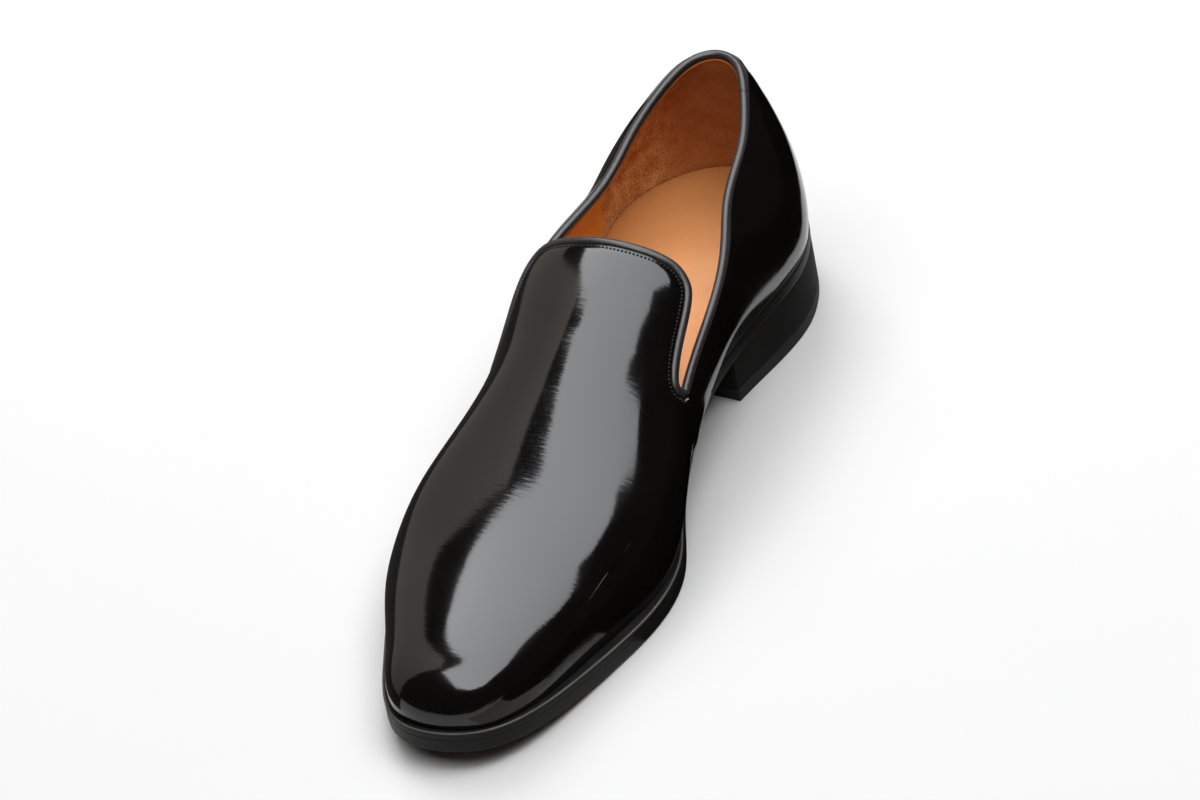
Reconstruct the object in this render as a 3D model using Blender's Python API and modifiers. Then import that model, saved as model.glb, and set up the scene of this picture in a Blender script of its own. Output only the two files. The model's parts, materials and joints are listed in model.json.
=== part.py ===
"""A left venetian loafer: a patent leather upper on a leather sole with a low stacked heel.

The shoe stands on the floor with its toe towards -Y, its outer (little toe) side towards +X and
its origin on the floor under the middle of its box. Lengths are in metres. A place along the shoe is
given as its distance from the back of the sole, or as a share of a length from heel (0) to toe (1).
"""

import math
from collections import namedtuple

import bmesh
import bpy
import numpy as np

# Driving dimensions
SOLE_LENGTH = 0.300
OUTSOLE_THICKNESS = 0.0052
WELT_THICKNESS = 0.0028
WELT_WIDTH = 0.0105
GAP = 0.0003
SEAT_LIFT = 0.0222
TOE_SPRING = 0.0080
SHANK_BACK, SHANK_FRONT = 0.18, 0.64
FLAT_FRONT = 0.72
SPRING_POWER = 1.8

HEEL_BREAST = 0.32
BREAST_HOLLOW = 0.004
HEEL_TAPER = 0.0002
LIFT_THICKNESS = 0.0052

UPPER_BACK, UPPER_FRONT = 0.0015, 0.2975
UPPER_WALL = 0.0020
INSOLE_THICKNESS = 0.0030
INSOLE_CLEARANCE = 0.0007
BINDING_RADIUS = 0.0017

BACK_CURVE_REACH = 0.070
# In front of the ball the wall's foot keeps only a part of its tuck
TOE_WALL_START, TOE_WALL_FULL = 0.60, 0.75
TOE_WALL_TUCK = 0.3

# Steps of the meshes
SOLE_STEPS = 44
CROSS_STEPS = 4
QUARTER_STEPS = 24
NOTCH_STEPS = 4
TAB_STEPS = 14
WALL_STEPS = 6
VAMP_STEPS = 24
TAB_EASE = 1.3
MERGE_DISTANCE = 1e-6
SHARP_ANGLE = math.radians(35)

# The two sides, and the columns that the tables keep for them
OUTER, INNER = 1, -1
SIDES = {OUTER: "outer", INNER: "inner"}

# Half widths of the sole at a share of its length
Outline = namedtuple("Outline", "share outer inner")
OUTLINE = (
    Outline(0.000, 0.0000, 0.0000),
    Outline(0.015, 0.0142, 0.0143),
    Outline(0.050, 0.0264, 0.0264),
    Outline(0.100, 0.0346, 0.0340),
    Outline(0.170, 0.0383, 0.0369),
    Outline(0.260, 0.0337, 0.0329),
    Outline(0.320, 0.0297, 0.0296),
    Outline(0.380, 0.0276, 0.0278),
    Outline(0.460, 0.0299, 0.0288),
    Outline(0.540, 0.0362, 0.0342),
    Outline(0.620, 0.0453, 0.0437),
    Outline(0.680, 0.0478, 0.0485),
    Outline(0.790, 0.0420, 0.0438),
    Outline(0.860, 0.0360, 0.0360),
    Outline(0.920, 0.0298, 0.0286),
    Outline(0.965, 0.0222, 0.0208),
    Outline(0.990, 0.0132, 0.0124),
    Outline(1.000, 0.0000, 0.0000),
)

# Sideways sway of the centre line at a share of the sole's length
Sway = namedtuple("Sway", "share x")
SWAY = (
    Sway(0.00, 0.0010),
    Sway(0.30, 0.0006),
    Sway(0.68, 0.0006),
    Sway(0.85, 0.0008),
    Sway(1.00, 0.0014),
)

# Arches of the upper at a share of its length: half widths at the widest, how far that lies above the
# foot of the wall, the height of the ridge, how slim the shoulders are and how far the ridge is off centre
Arch = namedtuple("Arch", "share outer inner rise ridge slim offset")
ARCHES = (
    Arch(0.000, 0.0000, 0.0000, 0.0110, 0.0960, 0.18, 0.0000),
    Arch(0.030, 0.0215, 0.0211, 0.0095, 0.0930, 0.16, 0.0000),
    Arch(0.080, 0.0322, 0.0320, 0.0089, 0.0895, 0.23, 0.0000),
    Arch(0.140, 0.0385, 0.0368, 0.0080, 0.0850, 0.28, 0.0000),
    Arch(0.220, 0.0378, 0.0362, 0.0104, 0.0805, 0.30, 0.0000),
    Arch(0.320, 0.0372, 0.0364, 0.0212, 0.0830, 0.08, 0.0000),
    Arch(0.400, 0.0375, 0.0367, 0.0259, 0.0823, -0.09, -0.0005),
    Arch(0.500, 0.0389, 0.0365, 0.0210, 0.0718, 0.08, -0.0020),
    Arch(0.600, 0.0451, 0.0425, 0.0150, 0.0595, 0.01, -0.0040),
    Arch(0.680, 0.0458, 0.0472, 0.0100, 0.0503, -0.12, -0.0050),
    Arch(0.760, 0.0407, 0.0457, 0.0079, 0.0433, -0.04, -0.0045),
    Arch(0.840, 0.0344, 0.0368, 0.0091, 0.0390, -0.06, -0.0030),
    Arch(0.910, 0.0289, 0.0279, 0.0064, 0.0358, -0.12, -0.0012),
    Arch(0.960, 0.0222, 0.0216, 0.0050, 0.0320, -0.16, 0.0000),
    Arch(0.988, 0.0142, 0.0136, 0.0030, 0.0262, -0.14, 0.0000),
    Arch(1.000, 0.0000, 0.0000, 0.0000, 0.0166, -0.10, 0.0000),
)

# How far the heel's back curve leans in at a height
Lean = namedtuple("Lean", "height inward")
BACK_CURVE = (
    Lean(0.030, 0.0020),
    Lean(0.040, 0.0004),
    Lean(0.048, 0.0000),
    Lean(0.060, 0.0008),
    Lean(0.072, 0.0024),
    Lean(0.082, 0.0044),
    Lean(0.100, 0.0090),
)

# Height of each quarter's topline at a distance from the back, down to the notch
Collar = namedtuple("Collar", "back outer inner")
COLLAR = (
    Collar(0.0015, 0.0834, 0.0834),
    Collar(0.0100, 0.0824, 0.0827),
    Collar(0.0210, 0.0797, 0.0798),
    Collar(0.0410, 0.0735, 0.0727),
    Collar(0.0610, 0.0680, 0.0668),
    Collar(0.0980, 0.0606, 0.0598),
    Collar(0.1250, 0.0534, 0.0518),
    Collar(0.1500, 0.0431, 0.0421),
)
NOTCH_BACK = {OUTER: 0.1471, INNER: 0.1501}
NOTCH_RADIUS = 0.0024

# Edge of the tab: how far back it lies on each side where the arch has climbed to an angle
Tab = namedtuple("Tab", "climb outer inner")
TAB = (
    Tab(27.0, 0.1415, 0.1397),
    Tab(31.0, 0.1289, 0.1313),
    Tab(36.0, 0.1193, 0.1223),
    Tab(41.0, 0.1162, 0.1167),
    Tab(47.0, 0.1146, 0.1140),
    Tab(56.0, 0.1143, 0.1137),
    Tab(72.0, 0.1152, 0.1151),
    Tab(90.0, 0.1155, 0.1155),
)

# Colours and finishes: red, green and blue, then roughness and coat
Finish = namedtuple("Finish", "red green blue roughness coat")
PATENT_BLACK = Finish(0.006, 0.005, 0.005, 0.10, 1.0)
SATIN_BLACK = Finish(0.020, 0.018, 0.020, 0.45, 0.0)
EDGE_BLACK = Finish(0.012, 0.011, 0.011, 0.40, 0.0)
SOLE_LEATHER = Finish(0.420, 0.190, 0.080, 0.55, 0.0)
SOCK_TAN = Finish(0.560, 0.300, 0.140, 0.50, 0.0)
RUBBER_BLACK = Finish(0.014, 0.013, 0.013, 0.65, 0.0)

UPPER_LENGTH = UPPER_FRONT - UPPER_BACK
EDGE_HEIGHT = OUTSOLE_THICKNESS + GAP + WELT_THICKNESS
RIDGE_ANGLE = math.pi / 2
STEEPEST_TUCK = 0.95
TINY = 1e-5


def spline(places, values, at):
    """Read a natural cubic spline through the values at other places."""
    places, values = np.asarray(places, float), np.asarray(values, float)
    at = np.asarray(at, float)
    steps = np.diff(places)
    count = len(places)
    matrix = np.eye(count)
    bends = np.zeros(count)
    for i in range(1, count - 1):
        matrix[i, i - 1 : i + 2] = steps[i - 1], 2 * (steps[i - 1] + steps[i]), steps[i]
        rise_after = (values[i + 1] - values[i]) / steps[i]
        rise_before = (values[i] - values[i - 1]) / steps[i - 1]
        bends[i] = 6 * (rise_after - rise_before)
    bends = np.linalg.solve(matrix, bends)
    i = np.clip(np.searchsorted(places, at) - 1, 0, count - 2)
    before, after = (places[i + 1] - at) / steps[i], (at - places[i]) / steps[i]
    curve = (before**3 - before) * bends[i] + (after**3 - after) * bends[i + 1]
    return before * values[i] + after * values[i + 1] + curve * steps[i] ** 2 / 6


def column(table, name):
    """One named column of a table."""
    return np.array([getattr(row, name) for row in table])


def round_ends(share):
    """A share of a length as an angle, so that widths read against it close in round ends."""
    return np.arccos(np.clip(1 - 2 * np.asarray(share, float), -1, 1))


def even_turns(count):
    """Shares of a length whose angles are evenly spaced, closer together at both ends."""
    return (1 - np.cos(np.linspace(0, math.pi, count + 1))) / 2


def underside(back):
    """Height of the outsole's underside: heel seat, shank, flat forefoot and toe spring."""
    share = np.asarray(back, float) / SOLE_LENGTH
    climb = np.clip((SHANK_FRONT - share) / (SHANK_FRONT - SHANK_BACK), 0, 1)
    spring = np.clip((share - FLAT_FRONT) / (1 - FLAT_FRONT), 0, None) ** SPRING_POWER
    return SEAT_LIFT * climb**2 * (3 - 2 * climb) + TOE_SPRING * spring


def centre(back):
    """Sideways place of the centre line."""
    return spline(column(SWAY, "share"), column(SWAY, "x"), np.asarray(back) / SOLE_LENGTH)


def plan_y(back):
    """Y of a distance from the back of the sole."""
    return SOLE_LENGTH / 2 - back


def plan_back(y):
    """Distance from the back of the sole of a Y."""
    return SOLE_LENGTH / 2 - y


def arch(share):
    """The arch at a share of the upper's length: outer, inner, rise, ridge, slim, offset."""
    places = round_ends(column(ARCHES, "share"))
    angle = round_ends(share)
    return [spline(places, column(ARCHES, name), angle) for name in Arch._fields[1:]]


def wall_foot(back):
    """Height of the foot of the upper's wall, on the welt."""
    return underside(back) + EDGE_HEIGHT + GAP


def foot_angle(share):
    """How far the arch turns in below its widest place before it meets the welt."""
    _, _, rise, ridge, _, _ = arch(share)
    height = ridge - wall_foot(UPPER_BACK + share * UPPER_LENGTH) - rise
    return np.arcsin(np.clip(rise / np.maximum(height, TINY), 0, STEEPEST_TUCK))


def climb_angle(share, height):
    """The angle of an arch at a height above the floor."""
    _, _, rise, ridge, _, _ = arch(share)
    widest = wall_foot(UPPER_BACK + share * UPPER_LENGTH) + rise
    return np.arcsin(np.clip((height - widest) / (ridge - widest), -1, 1))


def upper_points(share, climb, side):
    """Points of the upper's outside, at an angle up its arch, on the outer (1) or inner (-1) side."""
    outer, inner, rise, ridge, slim, offset = arch(share)
    back = UPPER_BACK + share * UPPER_LENGTH
    forward = np.clip((share - TOE_WALL_START) / (TOE_WALL_FULL - TOE_WALL_START), 0, 1)
    tuck = 1 + (TOE_WALL_TUCK - 1) * forward
    narrowing = (1 - np.cos(climb)) * np.where(climb < 0, tuck, 1)
    across, up = side * (1 - narrowing), np.sin(climb)
    mean, skew = (outer + inner) / 2, (outer - inner) / 2
    x = mean * across * (1 - slim * up**2) + skew * across**2 + offset * up * np.abs(up)
    widest = wall_foot(back) + rise
    z = widest + (ridge - widest) * up
    fade = np.clip(1 - back / BACK_CURVE_REACH, 0, 1) ** 2
    lean = spline(column(BACK_CURVE, "height"), column(BACK_CURVE, "inward"), z) * fade
    return np.stack([centre(back) + x, plan_y(back + lean), z], axis=-1)


def upper_frame(share, climb, side):
    """Point, the two slopes of the surface there and its outward normal."""
    point = upper_points(share, climb, side)
    ahead = np.where(share > 0.5, -TINY, TINY)
    along = (upper_points(share + ahead, climb, side) - point) / ahead[..., None]
    over = (upper_points(share, climb + TINY, side) - point) / TINY
    normal = np.cross(over, along) * side
    return point, along, over, normal / np.linalg.norm(normal, axis=-1, keepdims=True)


def topline(side):
    """One side's topline as shares and angles: along the quarter, round the notch and up the tab."""
    name, notch_back = SIDES[side], NOTCH_BACK[side]
    notch_start = notch_back - NOTCH_RADIUS
    last_turn = round_ends((notch_start - UPPER_BACK) / UPPER_LENGTH)
    straight = (1 - np.cos(np.linspace(0, last_turn, QUARTER_STEPS))) / 2
    bend = np.sin(np.linspace(0, RIDGE_ANGLE, NOTCH_STEPS + 1)[1:])
    quarter_backs = np.concatenate([UPPER_BACK + UPPER_LENGTH * straight, notch_start + NOTCH_RADIUS * bend])
    heights = spline(column(COLLAR, "back"), column(COLLAR, name), quarter_backs)
    into_notch = np.clip(1 - (notch_back - quarter_backs) / NOTCH_RADIUS, 0, 1)
    heights = heights + NOTCH_RADIUS * (1 - np.sqrt(1 - into_notch**2))
    quarter_shares = (quarter_backs - UPPER_BACK) / UPPER_LENGTH
    quarter_climbs = climb_angle(quarter_shares, heights)

    first = quarter_climbs[-1]
    turn = np.linspace(0, 1, TAB_STEPS + 1)[1:]
    tab_climbs = first + (RIDGE_ANGLE - first) * turn**TAB_EASE
    places = np.concatenate([[math.degrees(first)], column(TAB, "climb")])
    backs = np.concatenate([[notch_back], column(TAB, name)])
    tab_backs = spline(places, backs, np.degrees(tab_climbs))
    tab_shares = (tab_backs - UPPER_BACK) / UPPER_LENGTH
    return np.concatenate([quarter_shares, tab_shares]), np.concatenate([quarter_climbs, tab_climbs])


def moved_into_wall(side, distance):
    """One side's topline moved over the surface, away from the opening; straight down on the back seam."""
    shares, climbs = topline(side)
    point, along, over, normal = upper_frame(shares, climbs, side)
    normal[0, 0] = along[0] = 0
    tangent = np.gradient(point, axis=0)
    tangent[0] = (side, 0, 0)
    tangent[-1] = (-side, 0, 0)
    inward = np.cross(normal, tangent) * side
    inward /= np.linalg.norm(inward, axis=-1, keepdims=True)
    new_shares, new_climbs = shares.copy(), climbs.copy()
    for i in range(len(shares)):
        slopes = np.stack([along[i], over[i]], axis=1)
        move = np.linalg.lstsq(slopes, inward[i] * distance, rcond=None)[0]
        new_shares[i] += move[0]
        new_climbs[i] += move[1]
    new_shares[0] = 0.0
    new_climbs[-1] = RIDGE_ANGLE
    return new_shares, new_climbs


def add_grid(mesh, points):
    """Add a grid of points and the faces between them to a bmesh."""
    rows = [[mesh.verts.new(point) for point in line] for line in points]
    for first, second in zip(rows, rows[1:]):
        for a, b, c, d in zip(first, second, second[1:], first[1:]):
            mesh.faces.new((a, b, c, d))


def link(name, mesh, collection, material):
    """Make an object of a bmesh: doubles merged, faces outward, shaded smooth."""
    bmesh.ops.remove_doubles(mesh, verts=mesh.verts, dist=MERGE_DISTANCE)
    bmesh.ops.dissolve_degenerate(mesh, dist=MERGE_DISTANCE / 10, edges=mesh.edges)
    bmesh.ops.recalc_face_normals(mesh, faces=mesh.faces)
    data = bpy.data.meshes.new(name)
    mesh.to_mesh(data)
    mesh.free()
    data.shade_smooth()
    data.set_sharp_from_angle(angle=SHARP_ANGLE)
    piece = bpy.data.objects.new(name, data)
    piece.data.materials.append(material)
    collection.objects.link(piece)
    return piece


def make_material(name, finish):
    """A Principled material with one finish."""
    material = bpy.data.materials.new(name)
    material.use_nodes = True
    shader = material.node_tree.nodes["Principled BSDF"]
    shader.inputs["Base Color"].default_value = (finish.red, finish.green, finish.blue, 1.0)
    shader.inputs["Roughness"].default_value = finish.roughness
    shader.inputs["Coat Weight"].default_value = finish.coat
    return material


def make_upper(collection):
    """The upper: quarters and vamp as grids over the arches, open at collar and foot, with a wall."""
    notch = QUARTER_STEPS + NOTCH_STEPS - 1
    wall = np.linspace(0, 1, WALL_STEPS + 1)
    mesh = bmesh.new()
    for side in SIDES:
        shares, climbs = moved_into_wall(side, BINDING_RADIUS + GAP)
        columns = shares[: notch + 1]
        feet = -foot_angle(columns)
        angles = feet[:, None] + (climbs[: notch + 1] - feet)[:, None] * wall[None]
        add_grid(mesh, upper_points(np.broadcast_to(columns[:, None], angles.shape), angles, side))

        starts = np.concatenate([np.full(WALL_STEPS, columns[-1]), shares[notch:]])
        angles = np.concatenate([angles[-1, :-1], climbs[notch:]])
        feet = foot_angle(starts)
        levels = ((angles + feet) / (RIDGE_ANGLE + feet))[:, None]
        toe_levels = np.linspace(0, 1, len(levels))[:, None]
        first_turn = round_ends(starts)[:, None]
        steps = np.linspace(0, 1, VAMP_STEPS + 1)[None]
        along = (1 - np.cos(first_turn + (math.pi - first_turn) * steps)) / 2
        levels = levels + (toe_levels - levels) * steps
        feet = foot_angle(along)
        add_grid(mesh, upper_points(along, levels * (RIDGE_ANGLE + feet) - feet, side))
    piece = link("upper", mesh, collection, make_material("patent_leather", PATENT_BLACK))
    solidify = piece.modifiers.new("wall", "SOLIDIFY")
    solidify.thickness = UPPER_WALL
    solidify.offset = -1
    return piece


def make_binding(collection):
    """The rolled leather edge that follows the topline on the middle of the wall."""
    runs = []
    for side in SIDES:
        point, _, _, normal = upper_frame(*topline(side), side)
        normal[0, 0] = 0
        runs.append(point - normal * UPPER_WALL / 2)
    loop = np.concatenate([runs[0], runs[1][-2:0:-1]])
    curve = bpy.data.curves.new("topline_binding", "CURVE")
    curve.dimensions = "3D"
    curve.bevel_depth = BINDING_RADIUS
    curve.bevel_resolution = 2
    path = curve.splines.new("POLY")
    path.points.add(len(loop) - 1)
    for place, point in zip(path.points, loop):
        place.co = (*point, 1)
    path.use_cyclic_u = True
    curve.materials.append(make_material("binding_leather", SATIN_BLACK))
    piece = bpy.data.objects.new("topline_binding", curve)
    collection.objects.link(piece)
    return piece


def inset_sides(outer, inner, distance):
    """Both sides of an outline, given in plan from heel to toe, moved inward square to the edge."""
    loop = np.concatenate([outer, inner[-2:0:-1]])
    tangent = np.roll(loop, -1, axis=0) - np.roll(loop, 1, axis=0)
    tangent /= np.linalg.norm(tangent, axis=1, keepdims=True)
    inward = np.stack([tangent[:, 1], -tangent[:, 0]], axis=1)
    moved = loop + inward * distance
    steps = len(outer)
    return moved[:steps], np.concatenate([moved[:1], moved[: steps - 2 : -1]])


def sole_sides(inset=0.0):
    """The sole's outline in plan, outer and inner side from heel to toe, moved inward."""
    shares = even_turns(SOLE_STEPS)
    angle, places = round_ends(shares), round_ends(column(OUTLINE, "share"))
    backs = shares * SOLE_LENGTH
    sides = []
    for side, name in SIDES.items():
        half = spline(places, column(OUTLINE, name), angle)
        sides.append(np.stack([centre(backs) + side * half, plan_y(backs)], axis=1))
    return inset_sides(*sides, inset)


def add_slab(mesh, top_sides, bottom_sides, top_height, bottom_height):
    """Add a closed slab between two outlines, its faces at the heights that two functions give."""
    faces = []
    across = np.linspace(0, 1, CROSS_STEPS + 1)[None, :, None]
    for sides, height in ((top_sides, top_height), (bottom_sides, bottom_height)):
        plan = sides[0][:, None] * (1 - across) + sides[1][:, None] * across
        faces.append(np.concatenate([plan, height(plan[..., 1])[..., None]], axis=-1))
    top, bottom = faces
    add_grid(mesh, top)
    add_grid(mesh, bottom)
    for edge in ((slice(None), 0), (slice(None), -1), (-1, slice(None))):
        add_grid(mesh, np.stack([top[edge], bottom[edge]]))


def outsole_underside(y):
    """Height of the outsole's underside at a Y."""
    return underside(plan_back(y))


def outsole_top(y):
    """Height of the outsole's upper face at a Y."""
    return outsole_underside(y) + OUTSOLE_THICKNESS


def welt_top(y):
    """Height of the welt's upper face at a Y."""
    return outsole_underside(y) + EDGE_HEIGHT


def make_outsole(collection):
    """The leather outsole, from heel seat to toe."""
    mesh = bmesh.new()
    add_slab(mesh, sole_sides(), sole_sides(), outsole_top, outsole_underside)
    return link("outsole", mesh, collection, make_material("sole_leather", SOLE_LEATHER))


def make_welt(collection):
    """The welt: a flat leather ring on the outsole, under the wall of the upper and the insole's edge."""
    loops = []
    for inset, height in (
        (0, welt_top),
        (WELT_WIDTH, welt_top),
        (WELT_WIDTH, lambda y: outsole_top(y) + GAP),
        (0, lambda y: outsole_top(y) + GAP),
    ):
        outer, inner = sole_sides(inset)
        loop = np.concatenate([outer, inner[-2::-1]])
        loops.append(np.concatenate([loop, height(loop[:, 1])[:, None]], axis=1))
    mesh = bmesh.new()
    add_grid(mesh, np.stack([*loops, loops[0]]))
    return link("welt", mesh, collection, make_material("welt_leather", EDGE_BLACK))


def make_insole(collection):
    """The insole board, inside the upper, with its edge on the welt."""
    shares = even_turns(SOLE_STEPS)
    feet = -foot_angle(shares)
    sides = [upper_points(shares, feet, side)[:, :2] for side in SIDES]
    sides = inset_sides(*sides, UPPER_WALL + INSOLE_CLEARANCE)
    mesh = bmesh.new()
    add_slab(
        mesh,
        sides,
        sides,
        lambda y: welt_top(y) + GAP + INSOLE_THICKNESS,
        lambda y: welt_top(y) + GAP,
    )
    return link("insole", mesh, collection, make_material("sock_leather", SOCK_TAN))


def heel_sides(inset):
    """The outline of the heel: the sole's own, cut at the breast."""
    sides = []
    for side in sole_sides(inset):
        keep = side[plan_back(side[:, 1]) < HEEL_BREAST * SOLE_LENGTH]
        corner = (keep[-1, 0], plan_y(HEEL_BREAST * SOLE_LENGTH))
        sides.append(np.concatenate([keep, [corner]]))
    return sides


def make_heel_stack(collection):
    """The block of the heel, hollowed a little at its breast."""
    mesh = bmesh.new()
    add_slab(
        mesh,
        heel_sides(0.0),
        heel_sides(HEEL_TAPER),
        lambda y: outsole_underside(y) - GAP,
        lambda y: np.full(y.shape, LIFT_THICKNESS + GAP),
    )
    hollow_breast(mesh)
    return link("heel_stack", mesh, collection, make_material("heel_leather", EDGE_BLACK))


def make_top_lift(collection):
    """The wearing layer of the heel."""
    mesh = bmesh.new()
    sides = heel_sides(HEEL_TAPER)
    add_slab(
        mesh,
        sides,
        sides,
        lambda y: np.full(y.shape, LIFT_THICKNESS),
        lambda y: np.zeros(y.shape),
    )
    hollow_breast(mesh)
    return link("heel_top_lift", mesh, collection, make_material("lift_rubber", RUBBER_BLACK))


def hollow_breast(mesh):
    """Bow the front face of the heel towards the back."""
    half = max(abs(vertex.co.x) for vertex in mesh.verts)
    for vertex in mesh.verts:
        share = plan_back(vertex.co.y) / (HEEL_BREAST * SOLE_LENGTH)
        vertex.co.y += BREAST_HOLLOW * share**3 * (1 - (vertex.co.x / half) ** 2)


def main():
    """Clear the scene and make every piece of the shoe."""
    for piece in list(bpy.data.objects):
        bpy.data.objects.remove(piece)
    collection = bpy.data.collections.new("venetian_loafer")
    bpy.context.scene.collection.children.link(collection)
    for make in (
        make_upper,
        make_binding,
        make_welt,
        make_outsole,
        make_insole,
        make_heel_stack,
        make_top_lift,
    ):
        make(collection)


main()
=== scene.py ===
"""Looks of a left venetian loafer: black patent leather upper, tan lining, inked leather sole and heel.

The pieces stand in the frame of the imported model: toe towards -Y, outer side towards +X, floor at z = 0.
Lengths are in metres. A place along the shoe is a distance from the back of the sole, or a share of a
length from heel (0) to toe (1). A place up the upper's arch is an angle, 90 degrees at the ridge.
"""

import json
import logging
import math
from dataclasses import dataclass, replace
from enum import Enum
from typing import Callable, NamedTuple, Sequence, TypeVar

import bmesh
import bpy
import numpy as np
from mathutils import Matrix, Vector
from mathutils.kdtree import KDTree

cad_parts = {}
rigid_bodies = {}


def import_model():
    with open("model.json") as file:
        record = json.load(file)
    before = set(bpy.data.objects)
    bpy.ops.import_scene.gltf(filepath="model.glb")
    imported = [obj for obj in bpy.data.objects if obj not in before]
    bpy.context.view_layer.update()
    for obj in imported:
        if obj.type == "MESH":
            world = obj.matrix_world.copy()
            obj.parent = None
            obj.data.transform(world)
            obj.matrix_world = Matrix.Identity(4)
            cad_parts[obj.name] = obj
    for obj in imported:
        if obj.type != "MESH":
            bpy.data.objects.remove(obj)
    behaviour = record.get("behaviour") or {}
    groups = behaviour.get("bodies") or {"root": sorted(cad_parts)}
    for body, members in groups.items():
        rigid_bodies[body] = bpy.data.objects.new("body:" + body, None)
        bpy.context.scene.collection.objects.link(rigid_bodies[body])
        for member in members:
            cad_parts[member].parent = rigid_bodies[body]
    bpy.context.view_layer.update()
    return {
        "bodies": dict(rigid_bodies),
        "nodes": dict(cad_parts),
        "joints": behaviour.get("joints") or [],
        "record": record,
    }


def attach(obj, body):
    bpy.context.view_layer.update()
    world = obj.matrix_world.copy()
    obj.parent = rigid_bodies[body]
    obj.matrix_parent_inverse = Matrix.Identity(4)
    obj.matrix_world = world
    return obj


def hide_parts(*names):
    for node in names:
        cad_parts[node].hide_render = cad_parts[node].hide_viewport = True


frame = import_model()
BODY = "root"
MERGE_DISTANCE = 2e-6
COLLAPSE_DISTANCE = 2e-7
RIDGE_ANGLE = math.pi / 2
SHARP_ANGLE = math.radians(40)
TINY = 1e-5
NO_LENGTH = 1e-12
LOG = logging.getLogger("loafer")
Array = np.ndarray
Colour = tuple[float, float, float]
Place = tuple[float, float, float]
Pair = tuple[Array, Array]
Corners = tuple[tuple[float, float], ...]
Piece = bpy.types.Object
Mesh = bpy.types.Mesh
Material = bpy.types.Material
NodeSocket = bpy.types.NodeSocket
NodeTree = bpy.types.NodeTree


Row = TypeVar("Row", bound=tuple)


class Side(Enum):
    """The two sides of the shoe, by the way that each lies along X."""

    OUTER = 1
    INNER = -1

    @property
    def column(self) -> str:
        """The column that the tables keep for this side."""
        return self.name.lower()


class OutlineRow(NamedTuple):
    """Half widths of the sole at a share of its length."""

    share: float
    outer: float
    inner: float


class SwayRow(NamedTuple):
    """Sideways place of the centre line at a share of the sole's length."""

    share: float
    x: float


class ArchRow(NamedTuple):
    """An arch of the upper: half widths, rise to the widest place, ridge, slimness, ridge's offset."""

    share: float
    outer: float
    inner: float
    rise: float
    ridge: float
    slim: float
    offset: float


class LeanRow(NamedTuple):
    """How far the heel's back curve leans in at a height."""

    height: float
    inward: float


class CollarRow(NamedTuple):
    """Height of each quarter's topline at a distance from the back."""

    back: float
    outer: float
    inner: float


class TabRow(NamedTuple):
    """How far back the tab's edge lies, by side, where the arch has climbed to an angle in degrees."""

    climb: float
    outer: float
    inner: float


class Trough(NamedTuple):
    """A soft trough in the leather, or a ridge where its depth is below 0.

    It is centred at a distance from the back and at an angle round the arch from the ridge, above 0 on
    the outer side. Its long axis is turned from the shoe's length by an angle in degrees.
    """

    back: float
    around: float
    half_length: float
    half_width: float
    turn: float
    depth: float


class EdgePoint(NamedTuple):
    """A point of an edge's section: how far in it lies, at the toe and at the heel, and its height."""

    inset: float
    heel_inset: float
    height: float


class ToplineSteps(NamedTuple):
    """Points along one side of the topline: on the quarter, round the notch and up the tab."""

    quarter: int
    notch: int
    tab: int


class Patch(NamedTuple):
    """A grid of places on one side of the upper."""

    shares: Array
    climbs: Array
    side: Side


def rows_of(kind: type[Row], *rows: tuple[float, ...]) -> tuple[Row, ...]:
    """A table of rows of one kind."""
    return tuple(kind(*row) for row in rows)


OUTLINE = rows_of(
    OutlineRow,
    (0.000, 0.0000, 0.0000),
    (0.015, 0.0142, 0.0143),
    (0.050, 0.0264, 0.0264),
    (0.100, 0.0346, 0.0340),
    (0.170, 0.0383, 0.0369),
    (0.260, 0.0337, 0.0329),
    (0.320, 0.0297, 0.0296),
    (0.380, 0.0276, 0.0278),
    (0.460, 0.0299, 0.0288),
    (0.540, 0.0362, 0.0342),
    (0.620, 0.0453, 0.0437),
    (0.680, 0.0478, 0.0485),
    (0.790, 0.0420, 0.0438),
    (0.860, 0.0360, 0.0360),
    (0.920, 0.0298, 0.0286),
    (0.965, 0.0222, 0.0208),
    (0.990, 0.0132, 0.0124),
    (1.000, 0.0000, 0.0000),
)
SWAY = rows_of(
    SwayRow,
    (0.00, 0.0010),
    (0.30, 0.0006),
    (0.68, 0.0006),
    (0.85, 0.0008),
    (1.00, 0.0014),
)
ARCHES = rows_of(
    ArchRow,
    (0.000, 0.0000, 0.0000, 0.0110, 0.0960, 0.18, 0.0000),
    (0.030, 0.0215, 0.0211, 0.0095, 0.0930, 0.16, 0.0000),
    (0.080, 0.0322, 0.0320, 0.0089, 0.0895, 0.23, 0.0000),
    (0.140, 0.0385, 0.0368, 0.0080, 0.0850, 0.28, 0.0000),
    (0.220, 0.0378, 0.0362, 0.0104, 0.0805, 0.30, 0.0000),
    (0.320, 0.0372, 0.0364, 0.0212, 0.0830, 0.08, 0.0000),
    (0.400, 0.0375, 0.0367, 0.0259, 0.0823, -0.09, -0.0005),
    (0.500, 0.0389, 0.0365, 0.0210, 0.0718, 0.08, -0.0020),
    (0.600, 0.0451, 0.0425, 0.0150, 0.0595, 0.01, -0.0040),
    (0.680, 0.0458, 0.0472, 0.0100, 0.0503, -0.12, -0.0050),
    (0.760, 0.0407, 0.0457, 0.0079, 0.0433, -0.04, -0.0045),
    (0.840, 0.0344, 0.0368, 0.0091, 0.0390, -0.06, -0.0030),
    (0.910, 0.0289, 0.0279, 0.0064, 0.0358, -0.12, -0.0012),
    (0.960, 0.0222, 0.0216, 0.0050, 0.0320, -0.16, 0.0000),
    (0.988, 0.0142, 0.0136, 0.0030, 0.0262, -0.14, 0.0000),
    (1.000, 0.0000, 0.0000, 0.0000, 0.0166, -0.10, 0.0000),
)
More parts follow.
